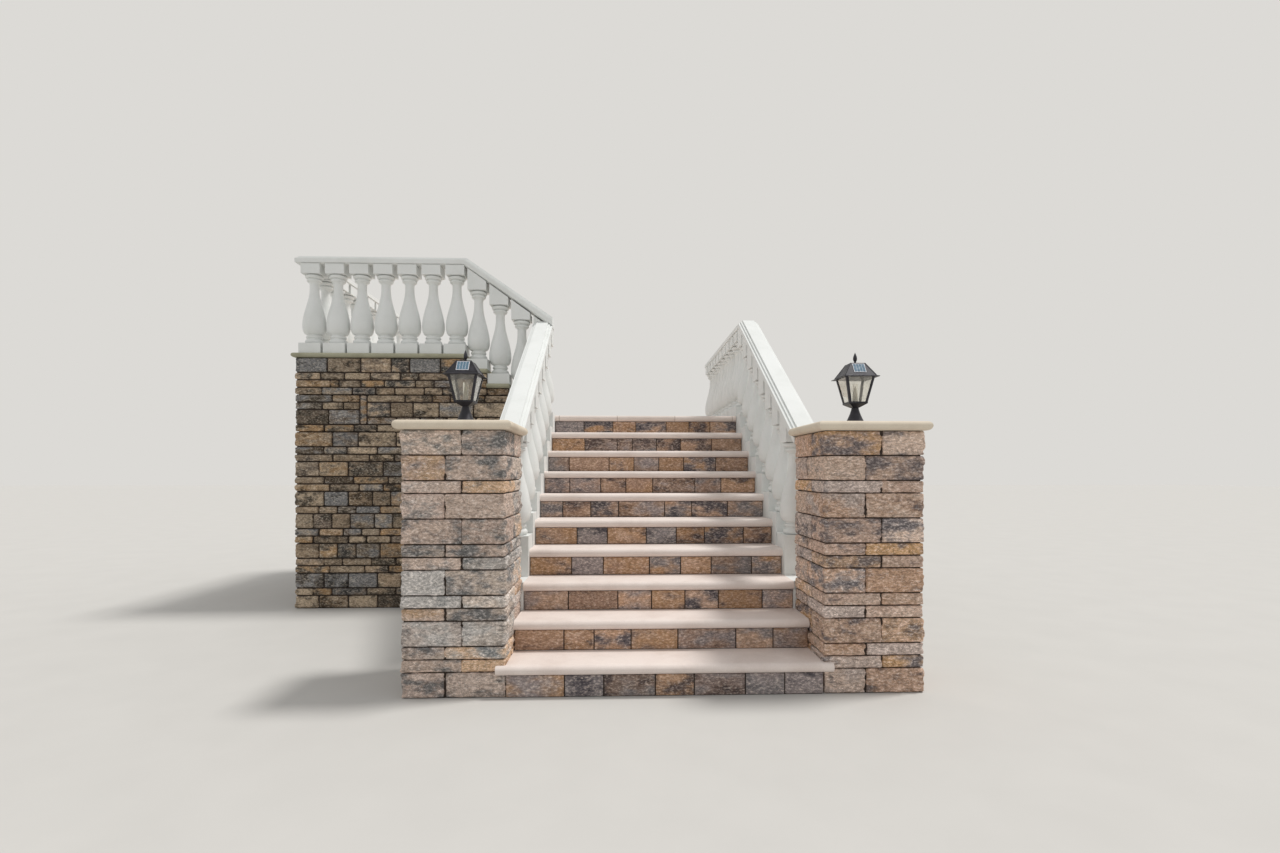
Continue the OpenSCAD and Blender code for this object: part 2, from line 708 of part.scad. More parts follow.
lower_flight_core();
riser_facings();
tread_1();
tread_2();
tread_3();
tread_4();
tread_5();
tread_6();
tread_7();
tread_8();
tread_9();
string_left();
string_right();
flank_left();
flank_right();
pier_left();
pier_right();
cap_left();
cap_right();
lantern_left();
lantern_right();
lantern_glass_left();
lantern_glass_right();
landing_slab();
floor_decks();
left_flight_core();
left_tread_1();
left_tread_2();
upper_slab();
front_wall();
left_wall();
back_wall();
front_coping();
left_coping();
balusters_lower_left();
balusters_lower_right();
balusters_landing();
balusters_left_flight();
balusters_upper_front();
balusters_upper_left();
rail_lower_left();
rail_lower_right();
rail_landing();
rail_left_flight();
rail_upper();
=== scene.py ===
"""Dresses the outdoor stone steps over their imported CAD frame.

Metres, in the frame's axes: X to the right, Y towards the house and Z up. The walls, piers and
risers are laid stone by stone in front of a recessed core, and the rails are reshaped copies of
their nodes. Treads, slabs, copings, balusters and lanterns keep their CAD mesh and get the finish
of the real material.
"""

from __future__ import annotations

import json
import logging
import math
import random
from collections.abc import Callable, Iterator, Sequence
from contextlib import contextmanager
from dataclasses import dataclass, field
from enum import Enum
from functools import partial
from typing import Any

import bmesh
import bpy
from mathutils import Matrix, Vector

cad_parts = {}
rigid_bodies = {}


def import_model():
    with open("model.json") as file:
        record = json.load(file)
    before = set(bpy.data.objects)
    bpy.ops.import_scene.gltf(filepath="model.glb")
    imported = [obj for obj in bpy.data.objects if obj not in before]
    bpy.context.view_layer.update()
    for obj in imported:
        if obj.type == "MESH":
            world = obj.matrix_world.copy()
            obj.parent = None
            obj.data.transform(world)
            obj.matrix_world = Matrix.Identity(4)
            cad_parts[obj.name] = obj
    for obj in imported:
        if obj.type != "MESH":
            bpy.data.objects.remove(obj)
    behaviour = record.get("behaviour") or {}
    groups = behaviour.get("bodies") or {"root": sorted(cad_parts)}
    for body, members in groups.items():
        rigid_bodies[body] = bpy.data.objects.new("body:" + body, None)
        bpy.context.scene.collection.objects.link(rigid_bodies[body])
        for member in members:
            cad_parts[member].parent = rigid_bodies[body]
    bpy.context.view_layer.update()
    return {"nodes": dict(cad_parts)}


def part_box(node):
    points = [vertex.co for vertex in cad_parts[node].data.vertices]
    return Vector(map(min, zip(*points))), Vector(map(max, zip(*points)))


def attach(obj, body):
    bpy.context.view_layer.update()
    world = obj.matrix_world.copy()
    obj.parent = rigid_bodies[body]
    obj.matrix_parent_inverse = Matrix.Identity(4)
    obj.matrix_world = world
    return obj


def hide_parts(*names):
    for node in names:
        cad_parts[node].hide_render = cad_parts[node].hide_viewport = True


LOG = logging.getLogger("stone_steps")
MM = 0.001
LEVEL = 0.99  # least share of a face's normal along the way that it is asked to look
MOST = (0.3, 0.7)  # the band in which most of a noise's values lie
STONE_MARK = "stone_mark"
SPLIT_FACE = "split_face"
TO_LEFT, TO_RIGHT = Vector((-1, 0, 0)), Vector((1, 0, 0))
TO_FRONT, TO_HOUSE = Vector((0, -1, 0)), Vector((0, 1, 0))
Piece = bpy.types.Object
Socket = bpy.types.NodeSocket
AddNode = Callable[..., Socket]
Test = Callable[[Vector, Vector], bool]


# Modelling helpers


def clear_selection() -> None:
    """Leaves edit mode and deselects every object."""
    if bpy.context.object and bpy.context.object.mode != "OBJECT":
        bpy.ops.object.mode_set(mode="OBJECT")
    bpy.ops.object.select_all(action="DESELECT")


def activate(piece: Piece) -> None:
    """Makes a piece the only selected and the active object.

    Args:
        piece: The piece.
    """
    clear_selection()
    piece.select_set(True)
    bpy.context.view_layer.objects.active = piece


@contextmanager
def edit_mode(piece: Piece) -> Iterator[bpy.types.Mesh]:
    """Opens a piece in edit mode with all of it selected.

    Args:
        piece: The mesh object to shape.

    Returns:
        The piece's mesh, for the selection helpers.
    """
    activate(piece)
    bpy.ops.object.mode_set(mode="EDIT")
    bpy.ops.mesh.select_mode(type="VERT")
    bpy.ops.mesh.select_all(action="SELECT")
    yield piece.data
    bpy.ops.object.mode_set(mode="OBJECT")


def select_edges(mesh: bpy.types.Mesh, wanted: Test) -> None:
    """Selects, in edit mode, the edges whose two ends pass a test.

    Args:
        mesh: The mesh in edit mode.
        wanted: The test on an edge's two ends.
    """
    bpy.ops.mesh.select_mode(type="EDGE")
    form = bmesh.from_edit_mesh(mesh)
    for edge in form.edges:
        edge.select_set(wanted(edge.verts[0].co, edge.verts[1].co))
    bmesh.update_edit_mesh(mesh)


def select_faces(mesh: bpy.types.Mesh, wanted: Test) -> None:
    """Selects, in edit mode, the faces whose middle and normal pass a test.

    Args:
        mesh: The mesh in edit mode.
        wanted: The test on a face's middle and normal.
    """
    bpy.ops.mesh.select_mode(type="FACE")
    form = bmesh.from_edit_mesh(mesh)
    form.normal_update()
    for face in form.faces:
        face.select_set(wanted(face.calc_center_median(), face.normal))
    bmesh.update_edit_mesh(mesh)


def joined(pieces: Sequence[Piece], name: str) -> Piece:
    """Joins pieces into one object with a new name.

    Args:
        pieces: The mesh objects to join.
        name: The name of the result.

    Returns:
        The joined object, which is left active.
    """
    activate(pieces[0])
    for piece in pieces:
        piece.select_set(True)
    if len(pieces) > 1:
        bpy.ops.object.join()
    whole = bpy.context.view_layer.objects.active
    whole.name = whole.data.name = name
    return whole


def copied(piece: Piece) -> Piece:
    """Copies a piece.

    Args:
        piece: The piece.

    Returns:
        The copy, with a mesh of its own.
    """
    twin = piece.copy()
    twin.data = piece.data.copy()
    bpy.context.scene.collection.objects.link(twin)
    return twin


def detached(node: str, name: str) -> Piece:
    """Copies a CAD node's solid as a new piece, with its triangles' corners welded.

    Args:
        node: The CAD node.
        name: The piece's name.

    Returns:
        The piece.
    """
    body = copied(bpy.data.objects[node])
    body.parent = None
    body.matrix_world = Matrix.Identity(4)
    for key in list(body.keys()):
        del body[key]
    body.name = body.data.name = name
    with edit_mode(body):
        bpy.ops.mesh.remove_doubles(threshold=0.01 * MM)
    return body


def on_axis(axis: int, value: float, rest: float = 0.0) -> list[float]:
    """Returns three numbers: a value on one axis and the rest on the others."""
    return [value if index == axis else rest for index in range(3)]


def turned(degrees: float) -> Matrix:
    """Returns the matrix that turns a piece round the upright axis."""
    return Matrix.Rotation(math.radians(degrees), 4, "Z")


def middle_of(node: str, axis: int) -> float:
    """Returns where the middle of a node's box lies on an axis."""
    low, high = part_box(node)
    return (low[axis] + high[axis]) / 2


def dress(piece: Piece, finish: Finish) -> None:
    """Gives a piece its finish."""
    piece.data.materials.clear()
    piece.data.materials.append(finish.material())


def mount(piece: Piece, slot: str, *replaced: str) -> None:
    """Fixes a finished piece to the steps.

    Args:
        piece: The finished object.
        slot: The record's material slot that the piece answers to; not used.
        *replaced: The CAD nodes that it stands for.
    """
    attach(piece, "root")
    if replaced:
        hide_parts(*replaced)
    LOG.info("%s: %d faces", piece.name, len(piece.data.polygons))


# Finishes


def linear(hex_colour: str, gain: float = 1.0) -> tuple[float, float, float, float]:
    """Turns an sRGB hex colour into a linear colour with full alpha.

    Args:
        hex_colour: The colour, such as "c8bfae".
        gain: How many times lighter the result is.

    Returns:
        Linear red, green, blue and alpha.
    """
    values = [int(hex_colour[i : i + 2], 16) / 255 for i in (0, 2, 4)]
    parts = [v / 12.92 if v <= 0.04045 else ((v + 0.055) / 1.055) ** 2.4 for v in values]
    red, green, blue = (min(1.0, gain * part) for part in parts)
    return red, green, blue, 1.0


def per_mm(size_mm: float) -> float:
    """Returns the noise scale whose features are about a size in millimetres."""
    return 1.0 / (size_mm * MM)


def feed(node: bpy.types.Node, inputs: dict[int | str, Any] | Sequence[Any]) -> None:
    """Sets or links a node's inputs.

    Args:
        node: The node.
        inputs: Values or other nodes' outputs, by name or number, or in order.
    """
    for key, value in inputs.items() if isinstance(inputs, dict) else enumerate(inputs):
        if isinstance(value, Socket):
            node.id_data.links.new(value, node.inputs[key])
        else:
            node.inputs[key].default_value = value


def add_node(
    tree: bpy.types.NodeTree,
    kind: str,
    inputs: dict[int | str, Any] | Sequence[Any] = (),
    output: int | str = 0,
    stops: Sequence[tuple[float, Any]] = (),
    **settings: Any,
) -> Socket:
    """Adds a shader node with its settings, its inputs and its links.

    Args:
        tree: The node tree.
        kind: The node's type, without the words that every type starts with.
        inputs: Values or other nodes' outputs, by name or number, or in order.
        output: Which output is wanted.
        stops: Places and linear colours of a colour ramp.
        **settings: The node's own settings.

    Returns:
        The wanted output.
    """
    node = tree.nodes.new(f"ShaderNode{kind}")
    for name, value in settings.items():
        setattr(node, name, value)
    feed(node, inputs)
    for index, (place, colour) in enumerate(stops):
        elements = node.color_ramp.elements
        element = elements[index] if index < 2 else elements.new(place)
        element.position, element.color = place, colour
    return node.outputs[output]


@dataclass(frozen=True)
class Finish:
    """A real material and the way its surface was made."""

    name: str

    def material(self) -> bpy.types.Material:
        """Makes the finish's material, or finds it if it is made already.

        Returns:
            The material.
        """
        found = bpy.data.materials.get(self.name)
        if found:
            return found
        made = bpy.data.materials.new(self.name)
        made.use_nodes = True
        surface = self.surface(partial(add_node, made.node_tree))
        feed(made.node_tree.nodes["Principled BSDF"], surface)
        return made

    def surface(self, add: AddNode) -> dict[str, Any]:
        """Returns what the shader is given; a plain finish leaves it as it is."""
        return {}


@dataclass(frozen=True)
class SplitStone(Finish):
    """Split concrete block, coloured through with blended pigments.

    The eye sees tan, grey and rosy patches that cloud into charcoal within one stone, thin dark
    veins that follow the split, darkened also as painted shade in the hollows along them, pale
    crusted specks, open grit, and a rough face that catches the light in small planes. Each stone's
    mark holds three chances, which pick its two tones, its lightness and how much of it is smoky. A
    band is the values of a noise between which its effect grows, and a light is the shares of the
    tone that are left at its ends.
    """

    tones: tuple[str, ...]
    smoke: str
    crust: str
    smoke_share: float
    blend_mm: float = 90.0
    vein_mm: float = 48.0
    # share of the tone left along a vein: partly its own dark colour, partly painted shade in its hollow
    vein_and_hollow_shade: float = 0.6
    fleck_mm: float = 11.0
    grit_mm: float = 3.5
    relief_mm: float = 6.0
    apart: tuple[float, float, float] = (31.0, 17.0, 23.0)
    lie: tuple[float, float, float] = (0.5, 0.5, 1.0)
    blend_band: tuple[float, float] = (0.34, 0.66)
    smoke_band: float = 0.2
    smoke_depth: float = 0.85
    crust_band: tuple[float, float] = (0.5, 0.72)
    crust_depth: float = 0.7
    vein_width: float = 0.035
    vein_bend: float = 0.7
    vein_height: float = 2.5
    grit_height: float = 0.3
    stone_light: tuple[float, float] = (0.3, 0.85)
    fleck_light: tuple[float, float] = (0.54, 1.3)
    grit_light: tuple[float, float] = (0.72, 1.28)

    def surface(self, add: AddNode) -> dict[str, Any]:
        """Picks two tones for each stone, clouds them together and veins them along the split.

        Args:
            add: Adds a node to the material.

        Returns:
            What the shader is given.
        """
        mark = add("Attribute", output="Vector", attribute_name=STONE_MARK)
        first, second, third = add("SeparateXYZ", (mark,)).node.outputs
        place = add("TexCoord", output="Object")
        spot = add("VectorMath", (mark, self.apart, place), operation="MULTIPLY_ADD")
        lying = add("VectorMath", (spot, self.lie), operation="MULTIPLY")
        # Each noise has its space, the size of its features, its detail and its roughness
        cloud, haze, vein, fleck, grit = (
            add("TexNoise", {"Vector": space, "Scale": per_mm(mm), "Detail": detail, "Roughness": rough})
            for space, mm, detail, rough in (
                (lying, self.blend_mm, 3.0, 0.55),
                (lying, self.blend_mm, 5.0, 0.62),
                (lying, self.vein_mm, 7.0, 0.66),
                (lying, self.fleck_mm, 5.0, 0.7),
                (spot, self.grit_mm, 3.0, 0.6),
            )
        )
        feed(vein.node, {"Distortion": self.vein_bend})
        # A MapRange takes its source, the band that it reads and the values at the band's ends
        share = 1.0 / len(self.tones)
        stops = [(index * share, linear(tone)) for index, tone in enumerate(self.tones)]
        bodies = [add("ValToRGB", (pick,), stops=stops) for pick in (first, second)]
        for body in bodies:
            body.node.color_ramp.interpolation = "CONSTANT"
        blend = add("MapRange", (cloud, *self.blend_band, 0.0, 1.0), interpolation_type="SMOOTHSTEP")
        clear = 0.42 + 0.3 * (0.5 - self.smoke_share)
        reach = add("Math", (third, self.smoke_band, clear), operation="MULTIPLY_ADD")
        thick = add("Math", (reach, self.smoke_band), operation="ADD")
        band = (reach, thick, 0.0, self.smoke_depth)
        smoky = add("MapRange", (haze, *band), interpolation_type="SMOOTHSTEP")
        slope = add("Math", (vein, 0.5), operation="SUBTRACT")
        ridge = add("Math", (slope,), operation="ABSOLUTE")
        light = add("Math", (second, *self.stone_light), operation="MULTIPLY_ADD")
        # The first darkens the veins: partly their own colour, partly painted shade in the hollows that the
        # bump sinks along them
        for shade in (
            add("MapRange", (ridge, 0.0, self.vein_width, self.vein_and_hollow_shade, 1.05)),
            add("MapRange", (fleck, *MOST, *self.fleck_light)),
            add("MapRange", (grit, *MOST, *self.grit_light)),
        ):
            light = add("Math", (light, shade), operation="MULTIPLY")
        speck = add("MapRange", (fleck, *self.crust_band, 0.0, self.crust_depth))
        tone = bodies[0]
        for part, other in ((blend, bodies[1]), (smoky, linear(self.smoke)), (speck, linear(self.crust))):
            tone = add("Mix", {0: part, 6: tone, 7: other}, 2, data_type="RGBA")
        toned = add("VectorMath", {0: tone, "Scale": light}, operation="SCALE")
        rough = add("Math", (grit, self.grit_height, fleck), operation="MULTIPLY_ADD")
        height = add("Math", (ridge, self.vein_height, rough), operation="MULTIPLY_ADD")
        bump = add("Bump", {"Strength": 1.0, "Distance": self.relief_mm * MM, "Height": height})
        return {"Base Color": toned, "Normal": bump, "Roughness": 0.92, "Specular IOR Level": 0.25}


@dataclass(frozen=True)
class CastStone(Finish):
    """Wet-cast stone of white cement and sand, from a smooth mould.

    The eye sees a pale even body with slow cloudy stains and fine sand grains, and on a floor the
    thin joints between its flags.
    """

    body: str
    stain: str
    stain_share: float
    stain_mm: float
    sand_mm: float
    sand_contrast: float
    relief_mm: float = 0.5
    roughness: float = 0.75
    stain_band: tuple[float, float] = (0.4, 0.72)
    pale_grains: float = 0.6
    flag_mm: float = 0.0
    flag_joint_mm: float = 3.0
    flag_shape: float = 0.75

    def surface(self, add: AddNode) -> dict[str, Any]:
        """Clouds the body with its stain, peppers it with sand and cuts it into flags.

        Args:
            add: Adds a node to the material.

        Returns:
            What the shader is given.
        """
        place = add("TexCoord", output="Object")
        stain, sand = (
            add("TexNoise", {"Vector": place, "Scale": per_mm(mm), "Detail": detail, "Roughness": rough})
            for mm, detail, rough in ((self.stain_mm, 7.0, 0.62), (self.sand_mm, 3.0, 0.7))
        )
        band = (*self.stain_band, 0.0, self.stain_share)
        share = add("MapRange", (stain, *band), interpolation_type="SMOOTHSTEP")
        body = {0: share, 6: linear(self.body), 7: linear(self.stain)}
        low, high = 1.0 - self.sand_contrast, 1.0 + self.sand_contrast * self.pale_grains
        grain = add("MapRange", (sand, *MOST, low, high))
        sanded = {0: add("Mix", body, 2, data_type="RGBA"), "Scale": grain}
        toned = add("VectorMath", sanded, operation="SCALE")
        if self.flag_mm:
            tones = {"Color1": linear("ffffff"), "Color2": linear("f1efec"), "Mortar": linear("b5aaa0")}
            wide = self.flag_mm * MM
            sizes = {"Brick Width": wide, "Row Height": self.flag_shape * wide}
            sizes["Mortar Size"] = self.flag_joint_mm * MM
            flags = add("TexBrick", {"Vector": place, "Scale": 1.0, "Mortar Smooth": 0.3} | sizes | tones)
            toned = add("VectorMath", (toned, flags), operation="MULTIPLY")
        bump = add("Bump", {"Strength": 0.5, "Distance": self.relief_mm * MM, "Height": sand})
        shine = {"Roughness": self.roughness, "Specular IOR Level": 0.35}
        return {"Base Color": toned, "Normal": bump} | shine


@dataclass(frozen=True)
class Clouded(Finish):
    """An even body that one noise lightens in places."""

    body: str
    cloud_mm: float = 14.0
    detail: float = 5.0
    band: tuple[float, float] = (0.35, 0.75)
    gain: float = 1.25

    def surface(self, add: AddNode) -> dict[str, Any]:
        """Clouds the body and adds its sheen.

        Args:
            add: Adds a node to the material.

        Returns:
            What the shader is given.
        """
        place = add("TexCoord", output="Object")
        noise = {"Vector": place, "Scale": per_mm(self.cloud_mm), "Detail": self.detail}
        cloud = add("TexNoise", noise)
        tone = linear(self.body)
        if self.gain != 1.0:
            stops = list(zip(self.band, (tone, linear(self.body, self.gain))))
            tone = add("ValToRGB", (cloud,), stops=stops)
        return {"Base Color": tone} | self.sheen(add, place, cloud)

    def sheen(self, add: AddNode, place: Socket, cloud: Socket) -> dict[str, Any]:
        """Returns what the shader is given besides the body's colour."""
        return {}


@dataclass(frozen=True)
class JointShadow(Clouded):
    """Bedding mortar raked well back, dark partly with its own damp dirt and partly as painted shade of the
    deep joint, so that a joint reads as a dark line.
    """

    cloud_mm: float = 9.0
    gain: float = 1.8

    def sheen(self, add: AddNode, place: Socket, cloud: Socket) -> dict[str, Any]:
        """Returns the mortar's coarse dull grain."""
        bump = add("Bump", {"Strength": 0.8, "Distance": 2.0 * MM, "Height": cloud})
        return {"Normal": bump, "Roughness": 0.95}


@dataclass(frozen=True)
class BronzePaint(Clouded):
    """Cast aluminium, powder-coated in a near-black bronze with a satin sheen."""

    cloud_mm: float = 45.0
    detail: float = 6.0
    band: tuple[float, float] = (0.4, 0.8)
    gain: float = 2.2
    peel_mm: float = 2.5
    dust_band: tuple[float, float] = (0.3, 0.75)
    gloss: tuple[float, float] = (0.34, 0.6)

    def sheen(self, add: AddNode, place: Socket, cloud: Socket) -> dict[str, Any]:
        """Varies the sheen with dust and the orange-peel of the coat.

        Args:
            add: Adds a node to the material.
            place: Where a point lies.
            cloud: The dust there.

        Returns:
            What the shader is given besides the colour.
        """
        gloss = add("MapRange", (cloud, *self.dust_band, *self.gloss))
        peel = add("TexNoise", {"Vector": place, "Scale": per_mm(self.peel_mm), "Detail": 2.0})
        bump = add("Bump", {"Strength": 0.25, "Distance": 0.3 * MM, "Height": peel})
        return {"Roughness": gloss, "Normal": bump, "Metallic": 0.35}


@dataclass(frozen=True)
class WindowGlass(Clouded):
    """Float glass with a film of dust, milky at a glance, that shows the lamp inside it."""

    cloud_mm: float = 30.0
    gain: float = 1.0
    dust_band: tuple[float, float] = (0.3, 0.8)
    gloss: tuple[float, float] = (0.02, 0.16)
    clear: tuple[float, float] = (0.98, 0.86)

    def sheen(self, add: AddNode, place: Socket, cloud: Socket) -> dict[str, Any]:
        """Lets most of the light through and breaks the gloss with dust.

        Args:
            add: Adds a node to the material.
            place: Where a point lies.
            cloud: The dust there.

        Returns:
            What the shader is given besides the colour.
        """
        gloss = add("MapRange", (cloud, *self.dust_band, *self.gloss))
        clear = add("MapRange", (cloud, *MOST, *self.clear))
        return {"Roughness": gloss, "Transmission Weight": clear, "IOR": 1.45}


@dataclass(frozen=True)
class MouldedPlastic(Clouded):
    """Glossy moulded plastic, pale for a lamp or a rim and blue for a silicon cell under its film."""

    gloss: float = 0.25
    dulled: float = 0.25
    dust_band: tuple[float, float] = (0.3, 0.75)

    def sheen(self, add: AddNode, place: Socket, cloud: Socket) -> dict[str, Any]:
        """Returns the plastic's gloss, which dust dulls in places."""
        gloss = (self.gloss, self.gloss + self.dulled)
        return {"Roughness": add("MapRange", (cloud, *self.dust_band, *gloss))}


@dataclass(frozen=True)
class StudioPaper(Clouded):
    """Pale seamless paper under the steps, with a faint fibre."""

    cloud_mm: float = 400.0
    detail: float = 4.0
    band: tuple[float, float] = (0.3, 0.7)
    gain: float = 0.97

    def sheen(self, add: AddNode, place: Socket, cloud: Socket) -> dict[str, Any]:
        """Returns the paper's dull surface."""
        return {"Roughness": 0.95, "Specular IOR Level": 0.1}


WALL_STONE = SplitStone(
    "split_stone_wall", ("bda68c", "9a8873", "ccb79d", "908f8f", "b8966f", "ab9a86", "837568"),
    "34322f", "d6cbb9", 0.7, 60.0, vein_and_hollow_shade=0.48,
)
PIER_STONE_LEFT = SplitStone(
    "split_stone_rosy", ("e2cab9", "d8beaf", "e5d0c2", "dac9ba", "debb99", "cfcac5"),
    "6f7679", "f7eee8", 0.62, 85.0,
)
PIER_STONE_RIGHT = SplitStone(
    "split_stone_peach", ("e4c4b0", "d8b194", "e5cbb8", "d5b8a3", "dab084", "ccbab0"),
    "66646a", "f7eae2", 0.58, 85.0,
)
RISER_STONE = SplitStone(
    "split_stone_riser", ("bd9a7f", "ad8e7a", "c2a28a", "918b8b", "b8926f", "9d9290"),
    "4a474e", "d9cabd", 0.6, 95.0, vein_and_hollow_shade=0.75, relief_mm=2.2,
)
# The cores behind the stones: dark mortar, darkened further as painted shade of the deep joints
MORTAR_AND_SHADE = JointShadow("raked_mortar", "352c26")
WHITE_CAST = CastStone("white_cast_stone_moulded", "e7e9e7", "d3d6d2", 0.4, 300.0, 3.0, 0.05)
TREAD_CAST = CastStone("rosy_cast_stone_honed", "e8dcd5", "cbbab0", 0.4, 260.0, 3.0, 0.12)
FLOOR_CAST = CastStone("rosy_cast_stone_flags", "e8dcd5", "cbbab0", 0.4, 260.0, 3.0, 0.12, flag_mm=600.0)
CAP_CAST = CastStone("cream_cast_stone_honed", "ddd1be", "c0b19d", 0.5, 240.0, 3.0, 0.12)
# The copings are the caps' cream cast stone, darkened to a greenish buff as painted shade
SHADED_CAP_CAST = CastStone("buff_cast_stone_honed", "aba992", "8a8772", 0.6, 220.0, 3.0, 0.12)
CONCRETE = CastStone("formed_concrete", "a5a199", "86827a", 0.6, 300.0, 5.0, 0.2, 1.2, 0.9)
BRONZE = BronzePaint("bronze_powder_coat", "29282e")
GLASS = WindowGlass("dusty_float_glass", "fdfbf5")
LAMP_PLASTIC = MouldedPlastic("opal_lamp_plastic", "efeadb")
RIM_PLASTIC = MouldedPlastic("pale_rim_plastic", "cfd0d6")
SOLAR_CELL = MouldedPlastic("silicon_cell", "5b7689", gloss=0.1)
PAPER = StudioPaper("pale_paper", "c9c7c3")


# Stones


@dataclass(frozen=True)
class Plane:
    """Outer face of a wall: where its courses start, and the way they run on plan."""

    x: float
    y: float
    degrees: float

    def matrix(self) -> Matrix:
        """Returns the matrix from the face's own axes: along it, into the wall, and up."""
        return Matrix.Translation((self.x, self.y, 0)) @ turned(self.degrees)


@dataclass(frozen=True)
class Ledge:
    """Level top of a wall between two places along its face."""

    start: float
    end: float
    top: float


@dataclass(frozen=True)
class Stone:
    """One stone in a wall face, given by its place along the face, its heights and its depth."""

    start: float
    end: float
    low: float
    high: float
    depth: float
    ends_show: bool = False


@dataclass
class Quarry:
    """Models each size of block once and cuts scaled copies from it.

    A block breaks by the share bed_break at its beds, and wholly from free_arrises arrises in.
    """

    cell: float
    arris: float
    rounds: int = 2
    bed_break: float = 0.15
    free_arrises: float = 1.6
    blanks: dict[tuple[int, ...], Piece] = field(default_factory=dict)

    def cut(self, size: Vector, all_round: bool) -> Piece:
        """Cuts a stone to size.

        Args:
            size: Its length, depth and height.
            all_round: Whether its ends show too, as at a corner.

        Returns:
            A block with its outer face at y = 0, its left end at x = 0 and its bed at z = 0.
        """
        cells = [max(2, round(part / self.cell)) for part in size]
        if not all_round:
            cells[1] = 1
        nominal = Vector((cells[0] * self.cell, size.y, cells[2] * self.cell))
        key = (*cells, round(size.y / MM))
        if key not in self.blanks:
            self.blanks[key] = self.model(nominal, cells, all_round)
        stone = copied(self.blanks[key])
        stone.data.transform(Matrix.Diagonal([size[i] / nominal[i] for i in range(3)]).to_4x4())
        return stone

    def model(self, size: Vector, cells: Sequence[int], all_round: bool) -> Piece:
        """Models a block with rounded outer arrises and its faces divided into cells.

        Args:
            size: Its length, depth and height.
            cells: The cells along each.
            all_round: Whether the arrises at its back are rounded too.

        Returns:
            The block, whose vertex group says how freely each part of it breaks.
        """
        clear_selection()
        bpy.ops.mesh.primitive_cube_add(size=1)
        block = bpy.context.object
        with edit_mode(block) as mesh:
            bpy.ops.transform.resize(value=size)
            bpy.ops.transform.translate(value=size / 2)
            back = size.y - 0.1 * MM
            select_edges(mesh, lambda a, b: all_round or min(a.y, b.y) < back)
            bpy.ops.mesh.bevel(offset=self.arris, segments=self.rounds, affect="EDGES")
            for axis in range(3):
                if cells[axis] > 1:
                    # The edges that run along the whole block, less its rounded arrises
                    least = size[axis] - 2.5 * self.arris
                    select_edges(mesh, lambda a, b: abs(a[axis] - b[axis]) > least)
                    bpy.ops.mesh.subdivide(number_cuts=cells[axis] - 1)
            select_faces(mesh, lambda middle, normal: normal.y > 0.9 and middle.y > back)
            bpy.ops.mesh.dissolve_faces()
        group = block.vertex_groups.new(name=SPLIT_FACE)
        for vertex in block.data.vertices:
            place = vertex.co
            clear = min(place.z, size.z - place.z)
            if not all_round:
                clear = min(clear, place.x, size.x - place.x)
            share = min(1.0, self.bed_break + clear / (self.free_arrises * self.arris))
            group.add([vertex.index], share, "REPLACE")
        return block

    def clear(self) -> None:
        """Takes the blanks out of the scene."""
        bpy.data.batch_remove(list(self.blanks.values()))
        self.blanks.clear()


@dataclass
class Mason:
    """Lays stones in a face with open joints and slightly uneven planes.

    A stone stands out by the share proud of what it may lie back, and swings by the share swing of
    its tilt. Joints of courses that lie on each other stand at least bond apart. A course is filled
    until at most longest times the longest stone is left, and more than halved times it is laid as
    two, the first of them between the shares halves.
    """

    quarry: Quarry
    joint: float
    seed: int
    uneven: float
    tilt: float
    proud: float = 0.6
    swing: float = 0.7
    bond: float = 45 * MM
    longest: float = 1.3
    halved: float = 1.05
    halves: tuple[float, float] = (0.42, 0.58)
    chance: random.Random = field(init=False)

    def __post_init__(self) -> None:
        """Seeds the mason's own chance."""
        self.chance = random.Random(self.seed)

    def lay(self, stone: Stone, plane: Plane) -> Piece:
        """Cuts one stone and lays it in a face.

        Args:
            stone: Where it goes in the face.
            plane: The face.

        Returns:
            The stone in its place.
        """
        long, high = stone.end - stone.start - self.joint, stone.high - stone.low - self.joint
        block = self.quarry.cut(Vector((long, stone.depth, high)), stone.ends_show)
        out = self.chance.uniform(-self.uneven, self.uneven * self.proud)
        seat = Matrix.Translation((stone.start + self.joint / 2, -out, stone.low + self.joint / 2))
        lean = Matrix.Rotation(self.chance.uniform(-self.tilt, self.tilt), 4, "X")
        swing = Matrix.Rotation(self.chance.uniform(-self.tilt, self.tilt) * self.swing, 4, "Z")
        if not stone.ends_show:
            seat = seat @ swing @ lean
        block.data.transform(plane.matrix() @ seat)
        mark = block.data.attributes.new(STONE_MARK, "FLOAT_VECTOR", "POINT")
        value = [self.chance.random() for _ in range(3)]
        mark.data.foreach_set("vector", value * len(block.data.vertices))
        return block

    def lengths(self, choices: Sequence[float], total: float, avoid: Sequence[float]) -> list[float]:
        """Fills a course with stones whose joints miss those of the course beside it.

        Args:
            choices: The lengths that stones come in.
            total: The length to fill.
            avoid: Where the joints of the course beside it stand.

        Returns:
            The stones' lengths.
        """
        found: list[float] = []
        place = 0.0
        while total - place > max(choices) * self.longest:
            options = [c for c in choices if all(abs(place + c - a) > self.bond for a in avoid)]
            found.append(self.chance.choice(options or list(choices)))
            place += found[-1]
        rest = total - place
        if rest > max(choices) * self.halved:
            first = rest * self.chance.uniform(*self.halves)
            return [*found, first, rest - first]
        return [*found, rest]


@dataclass(frozen=True)
class Relief:
    """Breaks in a stone's face: how wide they are, how deep, and whether they are ridged."""

    size: float
    depth: float
    ridged: bool = False

    def roughen(self, piece: Piece) -> None:
        """Moves a piece's faces in and out with the relief's noise.

        Args:
            piece: The mesh object at its place.
        """
        clouds = bpy.data.textures.new("clouds", "CLOUDS")
        clouds.noise_scale, clouds.noise_depth = self.size, 2
        clouds.noise_type = "HARD_NOISE" if self.ridged else "SOFT_NOISE"
        activate(piece)
        relief = piece.modifiers.new("relief", "DISPLACE")
        relief.texture, relief.texture_coords, relief.vertex_group = clouds, "LOCAL", SPLIT_FACE
        relief.strength, relief.mid_level = self.depth, 0.3 if self.ridged else 0.5
        bpy.ops.object.modifier_apply(modifier=relief.name)


